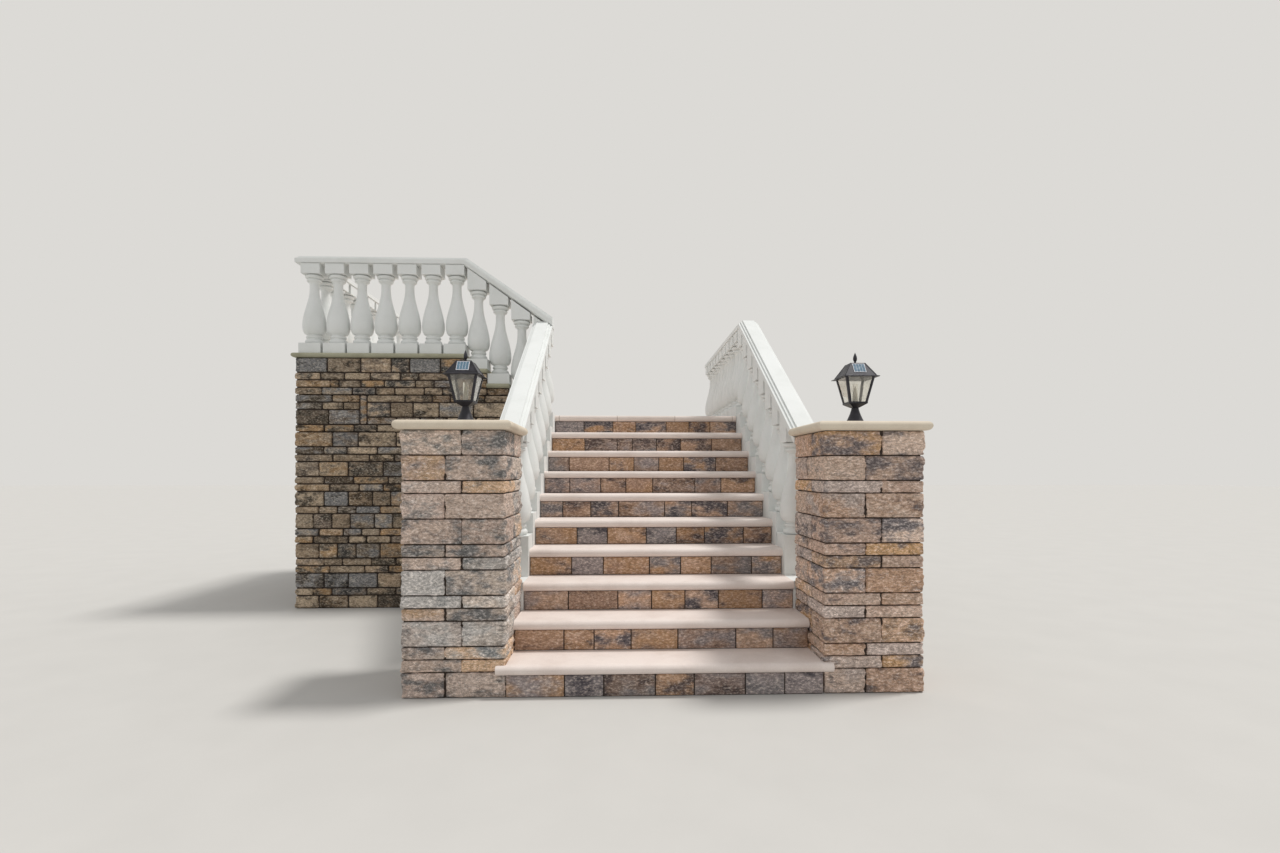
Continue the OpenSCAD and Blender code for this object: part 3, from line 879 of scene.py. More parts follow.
@dataclass(kw_only=True)
class StoneWork:
    """Stones laid by a seeded mason in front of a recessed core, with dark joints between them."""

    quarry: Quarry
    finish: Finish
    joint: float
    core_inset: float
    reliefs: tuple[Relief, ...]
    uneven: float = 4 * MM
    tilt: float = 0.012

    def mason(self, seed: int) -> Mason:
        """Returns a mason who lays the quarry's stones."""
        return Mason(self.quarry, self.joint, seed, self.uneven, self.tilt)

    def finished(self, stones: Sequence[Piece], node: str, *outward: Vector) -> Piece:
        """Joins laid stones, roughens them and sets them against their core.

        Args:
            stones: The laid stones.
            node: The CAD node that they stand for, from which the core is made.
            *outward: The directions in which the node's faces show.

        Returns:
            The finished piece.
        """
        core = detached(node, f"{node}_core")
        with edit_mode(core) as mesh:
            for way in outward:
                bpy.ops.mesh.select_all(action="DESELECT")
                select_faces(mesh, lambda middle, normal: normal.dot(way) > LEVEL)
                bpy.ops.transform.translate(value=-self.core_inset * way)
        name = f"{node.removesuffix('_facings')}_stones"
        whole = joined(stones, name)
        for relief in self.reliefs:
            relief.roughen(whole)
        dress(whole, self.finish)
        # The recessed core shows in the joints, dark with painted shade
        dress(core, MORTAR_AND_SHADE)
        piece = joined([whole, core], name)
        bpy.ops.object.shade_smooth_by_angle(angle=math.radians(38))
        return piece


def level_tops(node: str, edge: float = 0.0) -> dict[float, list[Vector]]:
    """Reads the level tops of a CAD node.

    Args:
        node: The CAD node.
        edge: How far inside the node's sides a top's faces lie at least.

    Returns:
        The corners of the faces of each top, by its level.
    """
    found: dict[float, list[Vector]] = {}
    low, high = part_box(node)
    mesh = bpy.data.objects[node].data
    for face in mesh.polygons:
        inside = all(low[i] + edge < face.center[i] < high[i] - edge for i in (0, 1))
        if face.normal.z > LEVEL and inside:
            level = round(face.center.z, 4)
            found.setdefault(level, []).extend(mesh.vertices[i].co for i in face.vertices)
    return found


def ledges(node: str, origin: float, way: int) -> list[Ledge]:
    """Lists a wall's level tops, without the floors of the joints raked into its sides.

    Args:
        node: The wall's CAD node.
        origin: Where its face starts on the X axis.
        way: 1 if its face runs to the right, -1 if it runs to the left.

    Returns:
        The tops in their order along the face.
    """
    found = []
    for top, corners in level_tops(node, 20 * MM).items():
        places = [way * (corner.x - origin) for corner in corners]
        found.append(Ledge(min(places), max(places), top))
    return sorted(found, key=lambda ledge: ledge.start)


# Sub-assemblies


class Side(Enum):
    """Sides of the lower flight."""

    LEFT = "left"
    RIGHT = "right"


class Course(Enum):
    """Heights that the blocks come in, counted in half blocks."""

    LOW = 1
    TALL = 2


L, S = Course.TALL, Course.LOW
Plan = tuple[tuple[Course, tuple[int, ...]], ...]


@dataclass(kw_only=True)
class Pier(StoneWork):
    """Stone pier of four blocks a course, laid in a pinwheel that turns over in each course."""

    node: str
    seed: int
    joint: float = 7 * MM
    core_inset: float = 16 * MM
    uneven: float = 3 * MM
    reliefs: tuple[Relief, ...] = (
        Relief(110 * MM, 22 * MM), Relief(55 * MM, 22 * MM, ridged=True), Relief(24 * MM, 11 * MM)
    )
    courses: tuple[Course, ...] = (L, L, S, L, L, S, S, L, S, S, L, S, S, L)
    long_share: float = 0.58

    def build(self) -> Piece:
        """Lays the pier's blocks round its core.

        Returns:
            The finished pier.
        """
        low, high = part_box(self.node)
        wide, deep = high.x - low.x, high.y - low.y
        corners = ((low.x, low.y), (high.x, low.y), (high.x, high.y), (low.x, high.y))
        mason = self.mason(self.seed)
        unit = (high.z - low.z) / sum(course.value for course in self.courses)
        top, stones, share = high.z, [], self.long_share
        for course in self.courses:
            bed = top - course.value * unit
            for quarter, corner in enumerate(corners):
                run, cross = (deep, wide) if quarter % 2 else (wide, deep)
                block = Stone(0, run * share, bed, top, cross * (1 - share) - self.joint / 2, True)
                stones.append(mason.lay(block, Plane(*corner, 90 * quarter)))
            top, share = bed, 1 - share
        return self.finished(stones, self.node, TO_LEFT, TO_RIGHT, TO_FRONT, TO_HOUSE)


@dataclass(frozen=True)
class Wall:
    """Stretch of coursed wall face, with the corner stones at either end.

    Where a corner is given it is the thickness of the wall that meets the face there. Every other
    course starts or ends a bond further in. The front wall's bay is the courses beside its upright
    stone, and firsts are the lengths of the first stones of its courses, in millimetres.
    """

    plane: Plane
    length: float
    ledges: Sequence[Ledge]
    depth: float = 75 * MM
    start_corner: float = 0.0
    end_corner: float = 0.0
    start_bond: float = 0.0
    end_bond: float = 0.0
    firsts: Sequence[Sequence[int]] = ()
    bay: range = range(0)


@dataclass(kw_only=True)
class Masonry(StoneWork):
    """Coursed walls under the landings and flights, all laid on one set of levels.

    A stone that would be thinner than sliver is left out. Within house_band of the house's face the
    stones are drawn in by house_draw, and a flank's stones may pass the string's end by past_end.
    """

    finish: Finish = WALL_STONE
    joint: float = 12 * MM
    core_inset: float = 18 * MM
    reliefs: tuple[Relief, ...] = (Relief(100 * MM, 22 * MM), Relief(50 * MM, 26 * MM, ridged=True))
    unit: float = 73.5 * MM
    bond: float = 120 * MM
    sliver: float = 30 * MM
    lengths: tuple[float, ...] = (0.18, 0.235, 0.285, 0.34)
    house_band: float = 80 * MM
    house_draw: float = 0.78
    past_end: float = 5 * MM
    upper_plan: Plan = (
        (L, (315, 324, 301, 178, 304)),
        (S, (250, 233, 253, 293)),
        (S, (343, 86, 213, 230, 303, 184)),
        (S, (262, 297, 227, 187, 291)),
    )
    left_bay: Plan = ((S, (362, 270)), (S, (268, 364)), (L, (329, 303)))
    right_bay: Plan = ((S, (372, 266)), (L, (230, 221, 256)), (S, (285, 237, 263)))
    lower_plan: Plan = (
        (S, (286, 290, 224)),
        (L, (366, 250, 372)),
        (S, (282, 226, 296)),
        (S, (369, 357, 244)),
    )
    upright: tuple[float, float] = (632 * MM, 702 * MM)
    foot_courses: tuple[Course, ...] = (L, S, S, L, S, L, S, S, L, S, S, L, S, L)

    def plan(self) -> Plan:
        """Returns the courses that the photograph shows, from the top down."""
        return (*self.upper_plan, *self.left_bay, *self.lower_plan)

    def levels(self) -> list[tuple[float, float]]:
        """Sets out the courses from the front wall's top down to the ground.

        Returns:
            The bed and top of each course.
        """
        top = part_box("front_wall")[1].z
        found: list[tuple[float, float]] = []
        for course in (*(course for course, _ in self.plan()), *self.foot_courses):
            if top > 0.0:
                bed = top - course.value * self.unit
                found.append((bed if bed >= self.sliver else 0.0, top))
                top = found[-1][0]
        return found

    def runs(self, wall: Wall, bed: float, top: float) -> list[Ledge]:
        """Finds the stretches of a course that lie under the wall's top.

        Args:
            wall: The wall.
            bed: The course's lower level.
            top: The course's upper level.

        Returns:
            The stretches, each with the height that it is cut to.
        """
        found: list[Ledge] = []
        for ledge in wall.ledges:
            if ledge.top < bed + self.sliver:
                continue
            start, high = ledge.start, ledge.top if ledge.top < top + self.sliver else top
            if found and found[-1].end > start - MM and found[-1].top == high == top:
                start = found.pop().start
            found.append(Ledge(start, ledge.end, high))
        return found

    def course(
        self,
        mason: Mason,
        wall: Wall,
        bed: float,
        run: Ledge,
        odd: bool = False,
        first: Sequence[int] = (),
        avoid: Sequence[float] = (),
    ) -> list[Stone]:
        """Sets out one stretch of a course.

        Args:
            mason: Who picks the lengths.
            wall: The wall.
            bed: The course's lower level.
            run: The stretch and its top.
            odd: Whether the corner stones of this course reach further round.
            first: Lengths of the first stones, in millimetres.
            avoid: Where the joints of the course above stand.

        Returns:
            The stretch's stones.
        """
        at_start, at_end = run.start < MM, run.end > wall.length - MM
        start = run.start + (wall.start_bond if at_start and odd else 0.0)
        end = run.end - (wall.end_bond if at_end and odd else 0.0)
        widths = [width * MM for width in first]
        while widths and sum(widths) > end - start - min(self.lengths):
            widths.pop()
        laid = sum(widths)
        widths += mason.lengths(self.lengths, end - start - laid, [a - start - laid for a in avoid])
        stones, place = [], start
        for index, width in enumerate(widths):
            corner = wall.end_corner if at_end and index == len(widths) - 1 else 0.0
            corner = corner or (wall.start_corner if at_start and index == 0 else 0.0)
            depth = corner + (self.bond if odd else 0.0) if corner else wall.depth
            stones.append(Stone(place, place + width, bed, run.top, depth, bool(corner)))
            place += width
        return stones

    def lay_wall(self, mason: Mason, wall: Wall) -> list[Piece]:
        """Lays a whole wall face from the top down.

        Args:
            mason: Who lays it.
            wall: The wall.

        Returns:
            The laid stones.
        """
        laid: list[Piece] = []
        avoid: list[float] = []
        for index, (bed, high) in enumerate(self.levels()):
            first = wall.firsts[index] if index < len(wall.firsts) else ()
            runs = self.runs(wall, bed, high)
            if index in wall.bay:
                runs, avoid = [Ledge(0, self.upright[0], high)], []
            odd = index % 2 == 1
            courses = [self.course(mason, wall, bed, run, odd, first, avoid) for run in runs]
            stones = [stone for course in courses for stone in course]
            avoid = [stone.end for stone in stones]
            laid += [mason.lay(stone, wall.plane) for stone in stones]
        return laid

    def front_wall(self) -> Piece:
        """Lays the front wall with the pattern of its real stones, the upright one included.

        Returns:
            The finished wall.
        """
        low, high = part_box("front_wall")
        wall = Wall(
            Plane(low.x, low.y, 0), high.x - low.x, ledges("front_wall", low.x, 1),
            start_corner=high.y - low.y, firsts=[lengths for _, lengths in self.plan()],
            bay=range(len(self.upper_plan), len(self.upper_plan) + len(self.left_bay)),
        )
        mason = self.mason(11)
        laid = self.lay_wall(mason, wall)
        levels = self.levels()
        top, bed = levels[wall.bay[0]][1], levels[wall.bay[-1]][0]
        left, right = self.upright
        laid.append(mason.lay(Stone(left, right, bed, top, wall.depth), wall.plane))
        for course, first in self.right_bay:
            under = top - course.value * self.unit
            for run in self.runs(wall, under, top):
                given = first if run.start < right else ()
                run = Ledge(max(run.start, right), run.end, run.top)
                stones = self.course(mason, wall, under, run, first=given)
                laid += [mason.lay(stone, wall.plane) for stone in stones]
            top = under
        return self.finished(laid, "front_wall", TO_FRONT, TO_LEFT)

    def left_wall(self) -> Piece:
        """Lays the upper landing's left wall and the corner that it turns at the house.

        Returns:
            The finished wall.
        """
        low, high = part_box("left_wall")
        length = high.y - low.y
        wall = Wall(
            Plane(low.x, high.y, -90), length, [Ledge(0, length, high.z)],
            start_corner=high.x - low.x, end_bond=self.bond,
        )
        laid = self.lay_wall(self.mason(23), wall)
        return self.flush(self.finished(laid, "left_wall", TO_LEFT, TO_HOUSE))

    def back_wall(self) -> Piece:
        """Lays the stepped wall that closes the landings at the house.

        Returns:
            The finished wall.
        """
        low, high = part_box("back_wall")
        wall = Wall(
            Plane(high.x, high.y, 180), high.x - low.x, ledges("back_wall", high.x, -1),
            start_bond=self.bond, end_bond=self.bond,
        )
        laid = self.lay_wall(self.mason(37), wall)
        return self.flush(self.finished(laid, "back_wall", TO_HOUSE))

    def flank(self, side: Side) -> Piece:
        """Lays a flank wall and cuts its stones to the slope of the string above.

        Args:
            side: Which flank.

        Returns:
            The finished wall.
        """
        node = f"flank_{side.value}"
        low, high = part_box(node)
        corners = [v.co for v in bpy.data.objects[node].data.vertices if v.co.z > MM]
        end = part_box(f"string_{side.value}")[1].y
        top = min(corner.z for corner in corners if abs(corner.y - end) < MM)
        foot = max(corner.z for corner in corners if abs(corner.y - low.y) < MM)
        if side is Side.LEFT:
            seed, outward = 45, [TO_LEFT]
            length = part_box("front_wall")[0].y - low.y
            wall = Wall(Plane(low.x, low.y + length, -90), length, [Ledge(0, length, top)])
        else:
            seed, outward = 46, [TO_RIGHT, TO_HOUSE]
            length, bend = high.y - low.y, end - low.y
            tops = [Ledge(0, bend, top), Ledge(bend, length, high.z)]
            wall = Wall(Plane(high.x, low.y, 90), length, tops, end_corner=high.x - low.x)
        rake = (top - foot) / (end - low.y)
        raking, level = [], []
        for stone in self.lay_wall(self.mason(seed), wall):
            spots = [vertex.co for vertex in stone.data.vertices]
            if all(s.z > foot + (s.y - low.y) * rake and s.y < end + self.past_end for s in spots):
                bpy.data.objects.remove(stone)
            elif max(s.z for s in spots) < top + self.sliver:
                raking.append(stone)
            else:
                level.append(stone)
        cut = joined(raking, f"{node}_raking")
        with edit_mode(cut):
            start, slope = (0, low.y, foot - self.joint), (0, -rake, 1)
            bpy.ops.mesh.bisect(plane_co=start, plane_no=slope, use_fill=True, clear_outer=True)
        return self.flush(self.finished([cut, *level], node, *outward))

    def flush(self, stones: Piece) -> Piece:
        """Draws a wall's stones in at the house's face, so that none stands past it.

        Args:
            stones: The wall's stones.

        Returns:
            The same piece.
        """
        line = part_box("back_wall")[1].y - self.house_band
        with edit_mode(stones) as mesh:
            select_edges(mesh, lambda a, b: min(a.y, b.y) > line)
            bpy.ops.transform.resize(value=(1, self.house_draw, 1), center_override=(0, line, 0))
        return stones


@dataclass(kw_only=True)
class RiserStones(StoneWork):
    """Smooth-faced stones on the risers, seven or so to a step, with thin dark joints."""

    finish: Finish = RISER_STONE
    joint: float = 7 * MM
    core_inset: float = 8 * MM
    uneven: float = 1.2 * MM
    tilt: float = 0.002
    reliefs: tuple[Relief, ...] = (Relief(60 * MM, 4 * MM),)
    lengths: tuple[float, ...] = (0.195, 0.235, 0.31, 0.345)
    rows: tuple[tuple[int, ...], ...] = (
        (350, 235, 310, 235, 310, 240),
        (320, 195, 240, 305, 380, 245),
        (310, 345, 235, 235, 235, 310),
        (310, 235, 345, 235, 230, 305),
        (330, 240, 310, 240, 225, 315),
        (190, 235, 235, 390, 230, 305),
        (225, 275, 225, 240, 380, 235),
        (195, 375, 235, 235, 235, 305),
        (325, 320, 150, 240, 240, 310),
        (300, 300, 240, 315, 240, 220),
    )

    def build(self) -> Piece:
        """Lays the stones of both flights.

        Returns:
            The finished stones.
        """
        mason = self.mason(5)
        under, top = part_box("tread_3")
        rise, thick = top.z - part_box("tread_2")[1].z, top.z - under.z
        laid: list[Piece] = []
        for index, (level, corners) in enumerate(sorted(level_tops("riser_facings").items())):
            low = Vector([min(corner[axis] for corner in corners) for axis in range(3)])
            high = Vector([max(corner[axis] for corner in corners) for axis in range(3)])
            low.z, high.z = level - rise + thick, level
            wide, deep = high.x - low.x, high.y - low.y
            if wide > deep:
                plane, widths = Plane(low.x, low.y, 0), [width * MM for width in self.rows[index]]
                widths.append(wide - sum(widths))
            else:
                plane, widths = Plane(high.x, low.y, 90), mason.lengths(self.lengths, deep, [])
            place = 0.0
            for width in widths:
                stone = Stone(place, place + width, low.z, high.z, min(wide, deep) - 2 * MM)
                laid.append(mason.lay(stone, plane))
                place += width
        return self.finished(laid, "riser_facings", TO_FRONT, TO_RIGHT, TO_LEFT)


@dataclass
class Rails:
    """Moulded rails, as broad as the photograph shows, with top edges that step down squarely.

    Each rail starts as a copy of its node. The steps list, for the two rounds at its edges, the
    depths between which a round lies, the depth of its step and how thick the round stays. The
    rounds move along the cuts at a rail's ends, which are the edges of its sides that start at
    cut_deep, drop by least_drop or more and lean by steepest or less. From flat_side outwards an
    edge of the rail is edge_wide broad. It is stretched there and moved out by flat_spread, so that
    the side lies farther out by spread.
    """

    spread: float = 35 * MM
    side: float = 65 * MM
    flat_side: float = 45 * MM
    flat_spread: float = 13 * MM
    edge_wide: float = 21 * MM
    stretch: float = 2.1
    cut_deep: float = 26 * MM
    least_drop: float = 3 * MM
    steepest: float = 1.5
    same_depth: float = 0.1 * MM
    steps: tuple[tuple[float, float, float, float], ...] = (
        (2.5 * MM, 14.5 * MM, 14 * MM, 0.2), (14.5 * MM, 26.5 * MM, 28 * MM, 0.2),
    )

    def build(self) -> dict[str, Piece]:
        """Makes the five rails.

        Returns:
            The rails by the node that each stands for.
        """
        straight = ("rail_lower_left", "rail_lower_right", "rail_landing")
        runs = {node: [(0, middle_of(node, 0))] for node in straight}
        front, left = (1, middle_of("rail_left_flight", 1)), (0, middle_of("balusters_upper_left", 0))
        runs |= {"rail_left_flight": [front], "rail_upper": [front, left]}
        rails = {node: self.widened(node, lines) for node, lines in runs.items()}
        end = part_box("rail_left_flight")[1].x - MM
        with edit_mode(rails["rail_left_flight"]) as mesh:
            select_edges(mesh, lambda a, b: min(a.x, b.x) > end)
            bpy.ops.transform.translate(value=(self.spread, 0, 0))
        return rails

    def widened(self, node: str, lines: Sequence[tuple[int, float]]) -> Piece:
        """Copies a rail and moves its sides away from the line of each of its runs.

        Args:
            node: The rail's node.
            lines: For each run, the axis across it and where its middle lies on that axis.

        Returns:
            The wider rail.
        """
        rail = detached(node, f"{node}_moulded")
        with edit_mode(rail):
            bpy.ops.mesh.dissolve_limited(angle_limit=math.radians(0.5))
        self.squared(rail, lines)
        for axis, place in lines:
            for way in (-1, 1):
                edge = place + way * self.flat_side
                middle, scale = on_axis(axis, edge), on_axis(axis, self.stretch, 1)
                with edit_mode(rail) as mesh:
                    select_edges(
                        mesh,
                        lambda a, b: all(-MM < way * (c[axis] - edge) < self.edge_wide for c in (a, b)),
                    )
                    bpy.ops.transform.resize(value=scale, center_override=middle)
                    bpy.ops.transform.translate(value=on_axis(axis, way * self.flat_spread))
        with edit_mode(rail):
            bpy.ops.mesh.faces_shade_flat()
        dress(rail, WHITE_CAST)
        return rail

    def squared(self, rail: Piece, lines: Sequence[tuple[int, float]]) -> None:
        """Lowers the rounds at a rail's edges to square steps, along the cuts at its ends.

        Args:
            rail: The rail as its node has it.
            lines: For each run, the axis across it and where its middle lies on that axis.
        """
        with edit_mode(rail) as mesh:
            form = bmesh.from_edit_mesh(mesh)
            top = max((face for face in form.faces if face.normal.z > 0.5), key=lambda face: face.calc_area())
            normal, spot = top.normal.copy(), top.verts[0].co.copy()

            def below(point: Vector) -> float:
                """Returns how deep a point lies under the rail's top."""
                return normal.dot(spot - point)

            def off(point: Vector) -> float:
                """Returns how far a point lies from the side of the nearest run."""
                return min(abs(abs(point[axis] - place) - self.side) for axis, place in lines)

            cuts = []
            for edge in form.edges:
                high, low = sorted((vertex.co.copy() for vertex in edge.verts), key=below)
                drop = below(low) - below(high)
                upright = drop > max(self.least_drop, (low - high).length / self.steepest)
                if upright and off(high) + off(low) < MM and abs(below(high) - self.cut_deep) < MM:
                    cuts.append((high, (low - high) / drop))
            moves: dict[tuple[int, int], tuple[Vector, set[int]]] = {}
            for vertex in form.verts:
                depth = below(vertex.co)
                for start, finish, wanted, share in self.steps:
                    if start < depth < finish:
                        index = min(range(len(cuts)), key=lambda cut: (cuts[cut][0] - vertex.co).length)
                        move = (wanted + share * (depth - start) - depth) * cuts[index][1]
                        key = (index, round(depth / self.same_depth))
                        moves.setdefault(key, (move, set()))[1].add(vertex.index)
            bpy.ops.mesh.select_mode(type="VERT")
            for move, chosen in moves.values():
                form = bmesh.from_edit_mesh(mesh)
                for vertex in form.verts:
                    vertex.select_set(vertex.index in chosen)
                form.select_flush_mode()
                bmesh.update_edit_mesh(mesh)
                bpy.ops.transform.translate(value=move)


@dataclass
class Castings:
    """Cast and poured parts that keep their CAD mesh, by what their nodes' names start with."""

    kinds: tuple[tuple[Finish, tuple[str, ...]], ...] = (
        (WHITE_CAST, ("string_", "balusters_")),
        (TREAD_CAST, ("tread_", "left_tread_")),
        (FLOOR_CAST, ("landing_slab", "upper_slab")),
        (CAP_CAST, ("cap_",)),
        # the copings take the caps' stone with painted shade
        (SHADED_CAP_CAST, ("front_coping", "left_coping")),
        (CONCRETE, ("lower_flight_core", "left_flight_core", "floor_decks")),
    )

    def finish(self, nodes: dict[str, Piece]) -> None:
        """Gives every casting its finish.

        Args:
            nodes: The CAD nodes by name.
        """
        for name, node in nodes.items():
            for finish, starts in self.kinds:
                if name.startswith(starts):
                    dress(node, finish)
                    LOG.info("%s: %s", name, finish.name)


@dataclass
class Lantern:
    """Lantern on a pier: painted frame, dusty panes, lamp cone, ribs on the hips and a solar panel."""

    side: Side
    rib: float = 5 * MM
    rib_facets: int = 10
    panel: tuple[float, float, float] = (80 * MM, 72 * MM, 3 * MM)
    panel_place: float = 0.55
    rim: float = 4 * MM
    cells: tuple[int, int] = (4, 1)
    cell_gap: float = 2 * MM
    cell_sink: float = 0.4 * MM
    hip_reach: float = 30 * MM
    lamp_foot: float = 15 * MM
    lamp_tip: float = 2 * MM
    lamp_height: float = 104 * MM
    lamp_facets: int = 24

    def build(self) -> Piece:
        """Finishes the lantern's frame and glass and makes its trim.

        Returns:
            The trim.
        """
        frame_node = bpy.data.objects[f"lantern_{self.side.value}"]
        glass_node = bpy.data.objects[f"lantern_glass_{self.side.value}"]
        dress(frame_node, BRONZE)
        dress(glass_node, GLASS)
        axis = Vector((middle_of(frame_node.name, 0), middle_of(frame_node.name, 1), 0))
        top, foot = self.hip(frame_node, axis)
        lamp = self.lamp(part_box(glass_node.name)[0].z)
        trim = joined([*self.ribs(top, foot), *self.solar_panel(top, foot), lamp], f"{frame_node.name}_trim")
        trim.data.transform(Matrix.Translation(axis))
        return trim

    def hip(self, frame_node: Piece, axis: Vector) -> tuple[Vector, Vector]:
        """Reads the roof's hip at its front right corner.

        Args:
            frame_node: The lantern's frame.
            axis: Where its axis stands.

        Returns:
            The hip's upper and lower end, measured from the axis.
        """
        spots = [vertex.co - axis for vertex in frame_node.data.vertices]
        corners = [spot for spot in spots if spot.x > self.hip_reach and abs(spot.x + spot.y) < 0.1 * MM]
        by_level = {round(corner.z, 4): corner for corner in corners}
        top, foot = sorted(by_level, reverse=True)[:2]
        return by_level[top], by_level[foot]

    def rounded(self, finish: Finish, offset: float, segments: int, ends_only: bool) -> Piece:
        """Eases the edges of the primitive that was added last and dresses it.

        Args:
            finish: Its finish.
            offset: How far the edges are eased.
            segments: The facets of each eased edge.
            ends_only: Whether only the edges at its two level ends are eased.

        Returns:
            The piece.
        """
        piece = bpy.context.object
        with edit_mode(piece) as mesh:
            if ends_only:
                select_edges(mesh, lambda a, b: abs(a.z - b.z) < MM)
            bpy.ops.mesh.bevel(offset=offset, segments=segments, affect="EDGES")
        dress(piece, finish)
        return piece

    def ribs(self, top: Vector, foot: Vector) -> list[Piece]:
        """Lays a rounded rib along each hip of the roof.

        Args:
            top: The upper end of one hip.
            foot: Its lower end.

        Returns:
            The ribs.
        """
        clear_selection()
        run = foot - top
        bpy.ops.mesh.primitive_cylinder_add(vertices=self.rib_facets, radius=self.rib / 2, depth=run.length)
        rib = self.rounded(BRONZE, self.rib / 6, 1, True)
        slope = run.to_track_quat("Z", "Y").to_matrix().to_4x4()
        rib.data.transform(Matrix.Translation((top + foot) / 2) @ slope)
        ribs = [rib, *(copied(rib) for _ in range(3))]
        for quarter, piece in enumerate(ribs):
            piece.data.transform(turned(90 * quarter))
        return ribs

    def plate(self, size: Vector, finish: Finish) -> Piece:
        """Makes a flat plate with eased edges.

        Args:
            size: Its width, height and thickness.
            finish: Its finish.

        Returns:
            The plate, its back on z = 0.
        """
        clear_selection()
        bpy.ops.mesh.primitive_cube_add(size=1)
        plate = bpy.context.object
        with edit_mode(plate):
            bpy.ops.transform.resize(value=size)
            bpy.ops.transform.translate(value=(0, 0, size.z / 2))
        return self.rounded(finish, size.z / 4, 2, False)

    def solar_panel(self, top: Vector, foot: Vector) -> list[Piece]:
        """Lays the solar panel with its cells on the roof's front slope.

        Args:
            top: The upper end of the hip at its right.
            foot: The hip's lower end.

        Returns:
            The panel and its cells.
        """
        wide, high, thick = self.panel
        columns, rows = self.cells
        gap, rims = self.cell_gap, 2 * self.rim
        cell = Vector(((wide - rims + gap) / columns - gap, (high - rims + gap) / rows - gap, MM))
        pieces = [self.plate(Vector(self.panel), RIM_PLASTIC)]
        blank = self.plate(cell, SOLAR_CELL)
        for column in range(columns):
            for row in range(rows):
                piece = copied(blank)
                across = (column - (columns - 1) / 2) * (cell.x + gap)
                up = (row - (rows - 1) / 2) * (cell.y + gap)
                piece.data.transform(Matrix.Translation((across, up, thick - self.cell_sink)))
                pieces.append(piece)
        bpy.data.objects.remove(blank)
        middle = foot.lerp(top, self.panel_place)
        lean = math.atan2(top.z - foot.z, foot.x - top.x)
        seat = Matrix.Translation((0, -middle.x, middle.z)) @ Matrix.Rotation(lean, 4, "X")
        for piece in pieces:
            piece.data.transform(seat)
        return pieces

    def lamp(self, base: float) -> Piece:
        """Stands the lamp's cone on the floor of the glazed body.

        Args:
            base: The floor's level.

        Returns:
            The cone.
        """
        clear_selection()
        foot, tip, height = self.lamp_foot, self.lamp_tip, self.lamp_height
        bpy.ops.mesh.primitive_cone_add(vertices=self.lamp_facets, radius1=foot, radius2=tip, depth=height)
        cone = self.rounded(LAMP_PLASTIC, tip / 2, 2, True)
        cone.data.transform(Matrix.Translation((0, 0, base + height / 2 + MM)))
        return cone


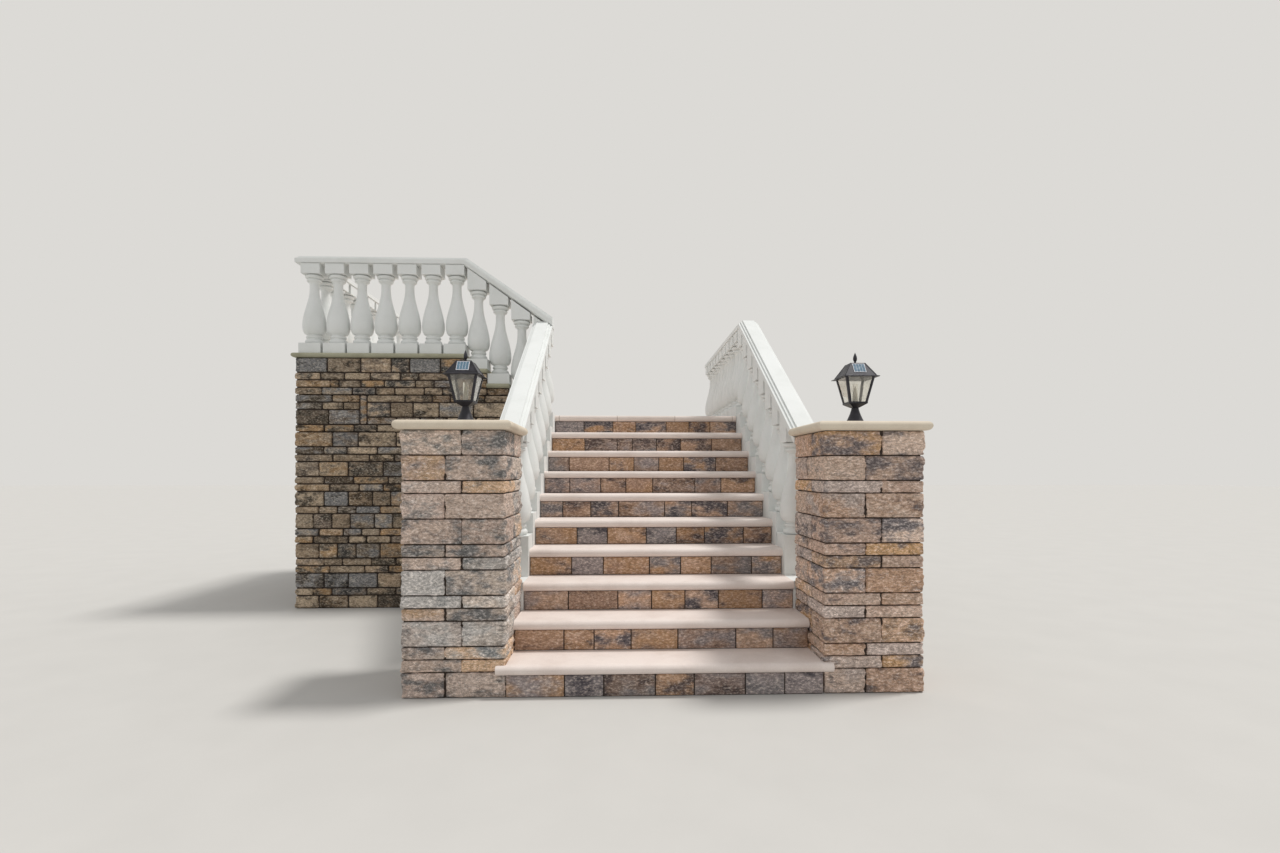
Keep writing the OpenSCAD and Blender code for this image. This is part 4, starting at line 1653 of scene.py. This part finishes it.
@dataclass
class Studio:
    """Pale floor, soft lamps and the camera at the photograph's place."""

    floor_half: float = 60.0
    eye: tuple[float, float, float] = (-0.284, -3.715, 1.347)
    yaw: float = math.radians(1.965)
    focal_px: float = 619.0
    frame_px: float = 1280.0
    frame_height_px: float = 853.0
    horizon_px: float = 472.0
    sensor_mm: float = 36.0
    key_strength: float = 2.1
    key_tint: tuple[float, float, float] = (1.0, 0.985, 0.96)
    key_softness: float = math.radians(10)
    key_height: float = math.radians(64)
    key_side: float = math.radians(101)
    sky: float = 0.64
    backdrop: str = "dcdad6"

    def build(self) -> None:
        """Sets up the floor, the key light, the sky and the camera."""
        self.floor()
        self.key()
        self.surroundings()
        self.camera()

    def floor(self) -> None:
        """Lays the pale floor, cut into a few panes so that it stays flat and light."""
        clear_selection()
        bpy.ops.mesh.primitive_plane_add(size=2 * self.floor_half)
        floor = bpy.context.object
        floor.name = "studio_floor"
        with edit_mode(floor):
            bpy.ops.mesh.subdivide(number_cuts=3)
        dress(floor, PAPER)

    def key(self) -> None:
        """Adds the soft key light from the right."""
        key = bpy.data.lights.new("key", "SUN")
        key.energy, key.angle, key.color = self.key_strength, self.key_softness, self.key_tint
        lamp = bpy.data.objects.new("key", key)
        level, side = math.cos(self.key_height), self.key_side
        towards = Vector((level * math.sin(side), -level * math.cos(side), math.sin(self.key_height)))
        lamp.rotation_euler = towards.to_track_quat("Z", "Y").to_euler()
        bpy.context.scene.collection.objects.link(lamp)

    def surroundings(self) -> None:
        """Adds an even pale sky, and the backdrop that the camera and reflections see instead."""
        world = bpy.data.worlds.new("studio_sky")
        bpy.context.scene.world = world
        world.use_nodes = True
        add = partial(add_node, world.node_tree)
        rays = add("LightPath").node.outputs
        seen = rays["Is Camera Ray"]
        for other in ("Is Glossy Ray", "Is Transmission Ray"):
            seen = add("Math", (seen, rays[other]), operation="MAXIMUM")
        tones = {0: seen, 6: (self.sky, self.sky, self.sky, 1.0), 7: linear(self.backdrop)}
        tone = add("Mix", tones, 2, data_type="RGBA")
        feed(world.node_tree.nodes["Background"], {"Color": tone})

    def camera(self) -> None:
        """Puts the camera where the photograph was taken, with its horizon at the same height."""
        lens = bpy.data.cameras.new("camera")
        lens.sensor_width = self.sensor_mm
        lens.lens = self.focal_px / self.frame_px * self.sensor_mm
        lens.shift_y = (self.horizon_px - self.frame_height_px / 2) / self.frame_px
        lens.clip_end = 500.0
        view = bpy.data.objects.new("camera", lens)
        view.location = self.eye
        view.rotation_euler = (math.radians(90), 0.0, -self.yaw)
        bpy.context.scene.collection.objects.link(view)
        bpy.context.scene.camera = view


def main() -> None:
    """Builds the looks piece by piece."""
    logging.basicConfig(level=logging.INFO, format="%(name)s %(message)s")
    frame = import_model()
    Studio().build()
    bpy.context.scene.view_settings.view_transform = "Standard"
    Castings().finish(frame["nodes"])
    blocks, fine, coarse, smooth = quarries = (
        Quarry(15 * MM, 9 * MM), Quarry(19 * MM, 12 * MM), Quarry(30 * MM, 12 * MM), Quarry(40 * MM, 4 * MM),
    )
    for side, finish, seed in ((Side.LEFT, PIER_STONE_LEFT, 7), (Side.RIGHT, PIER_STONE_RIGHT, 8)):
        pier = Pier(quarry=blocks, finish=finish, node=f"pier_{side.value}", seed=seed)
        mount(pier.build(), "split_face_stone", pier.node)
        mount(Lantern(side).build(), "bronze_paint")
    mount(Masonry(quarry=fine).front_wall(), "split_face_stone", "front_wall")
    masonry = Masonry(quarry=coarse)
    mount(masonry.left_wall(), "split_face_stone", "left_wall")
    mount(masonry.back_wall(), "split_face_stone", "back_wall")
    for side in Side:
        mount(masonry.flank(side), "split_face_stone", f"flank_{side.value}")
    mount(RiserStones(quarry=smooth).build(), "split_face_stone", "riser_facings")
    for quarry in quarries:
        quarry.clear()
    for node, rail in Rails().build().items():
        mount(rail, "white_cast_stone", node)


if __name__ == "__main__":
    main()
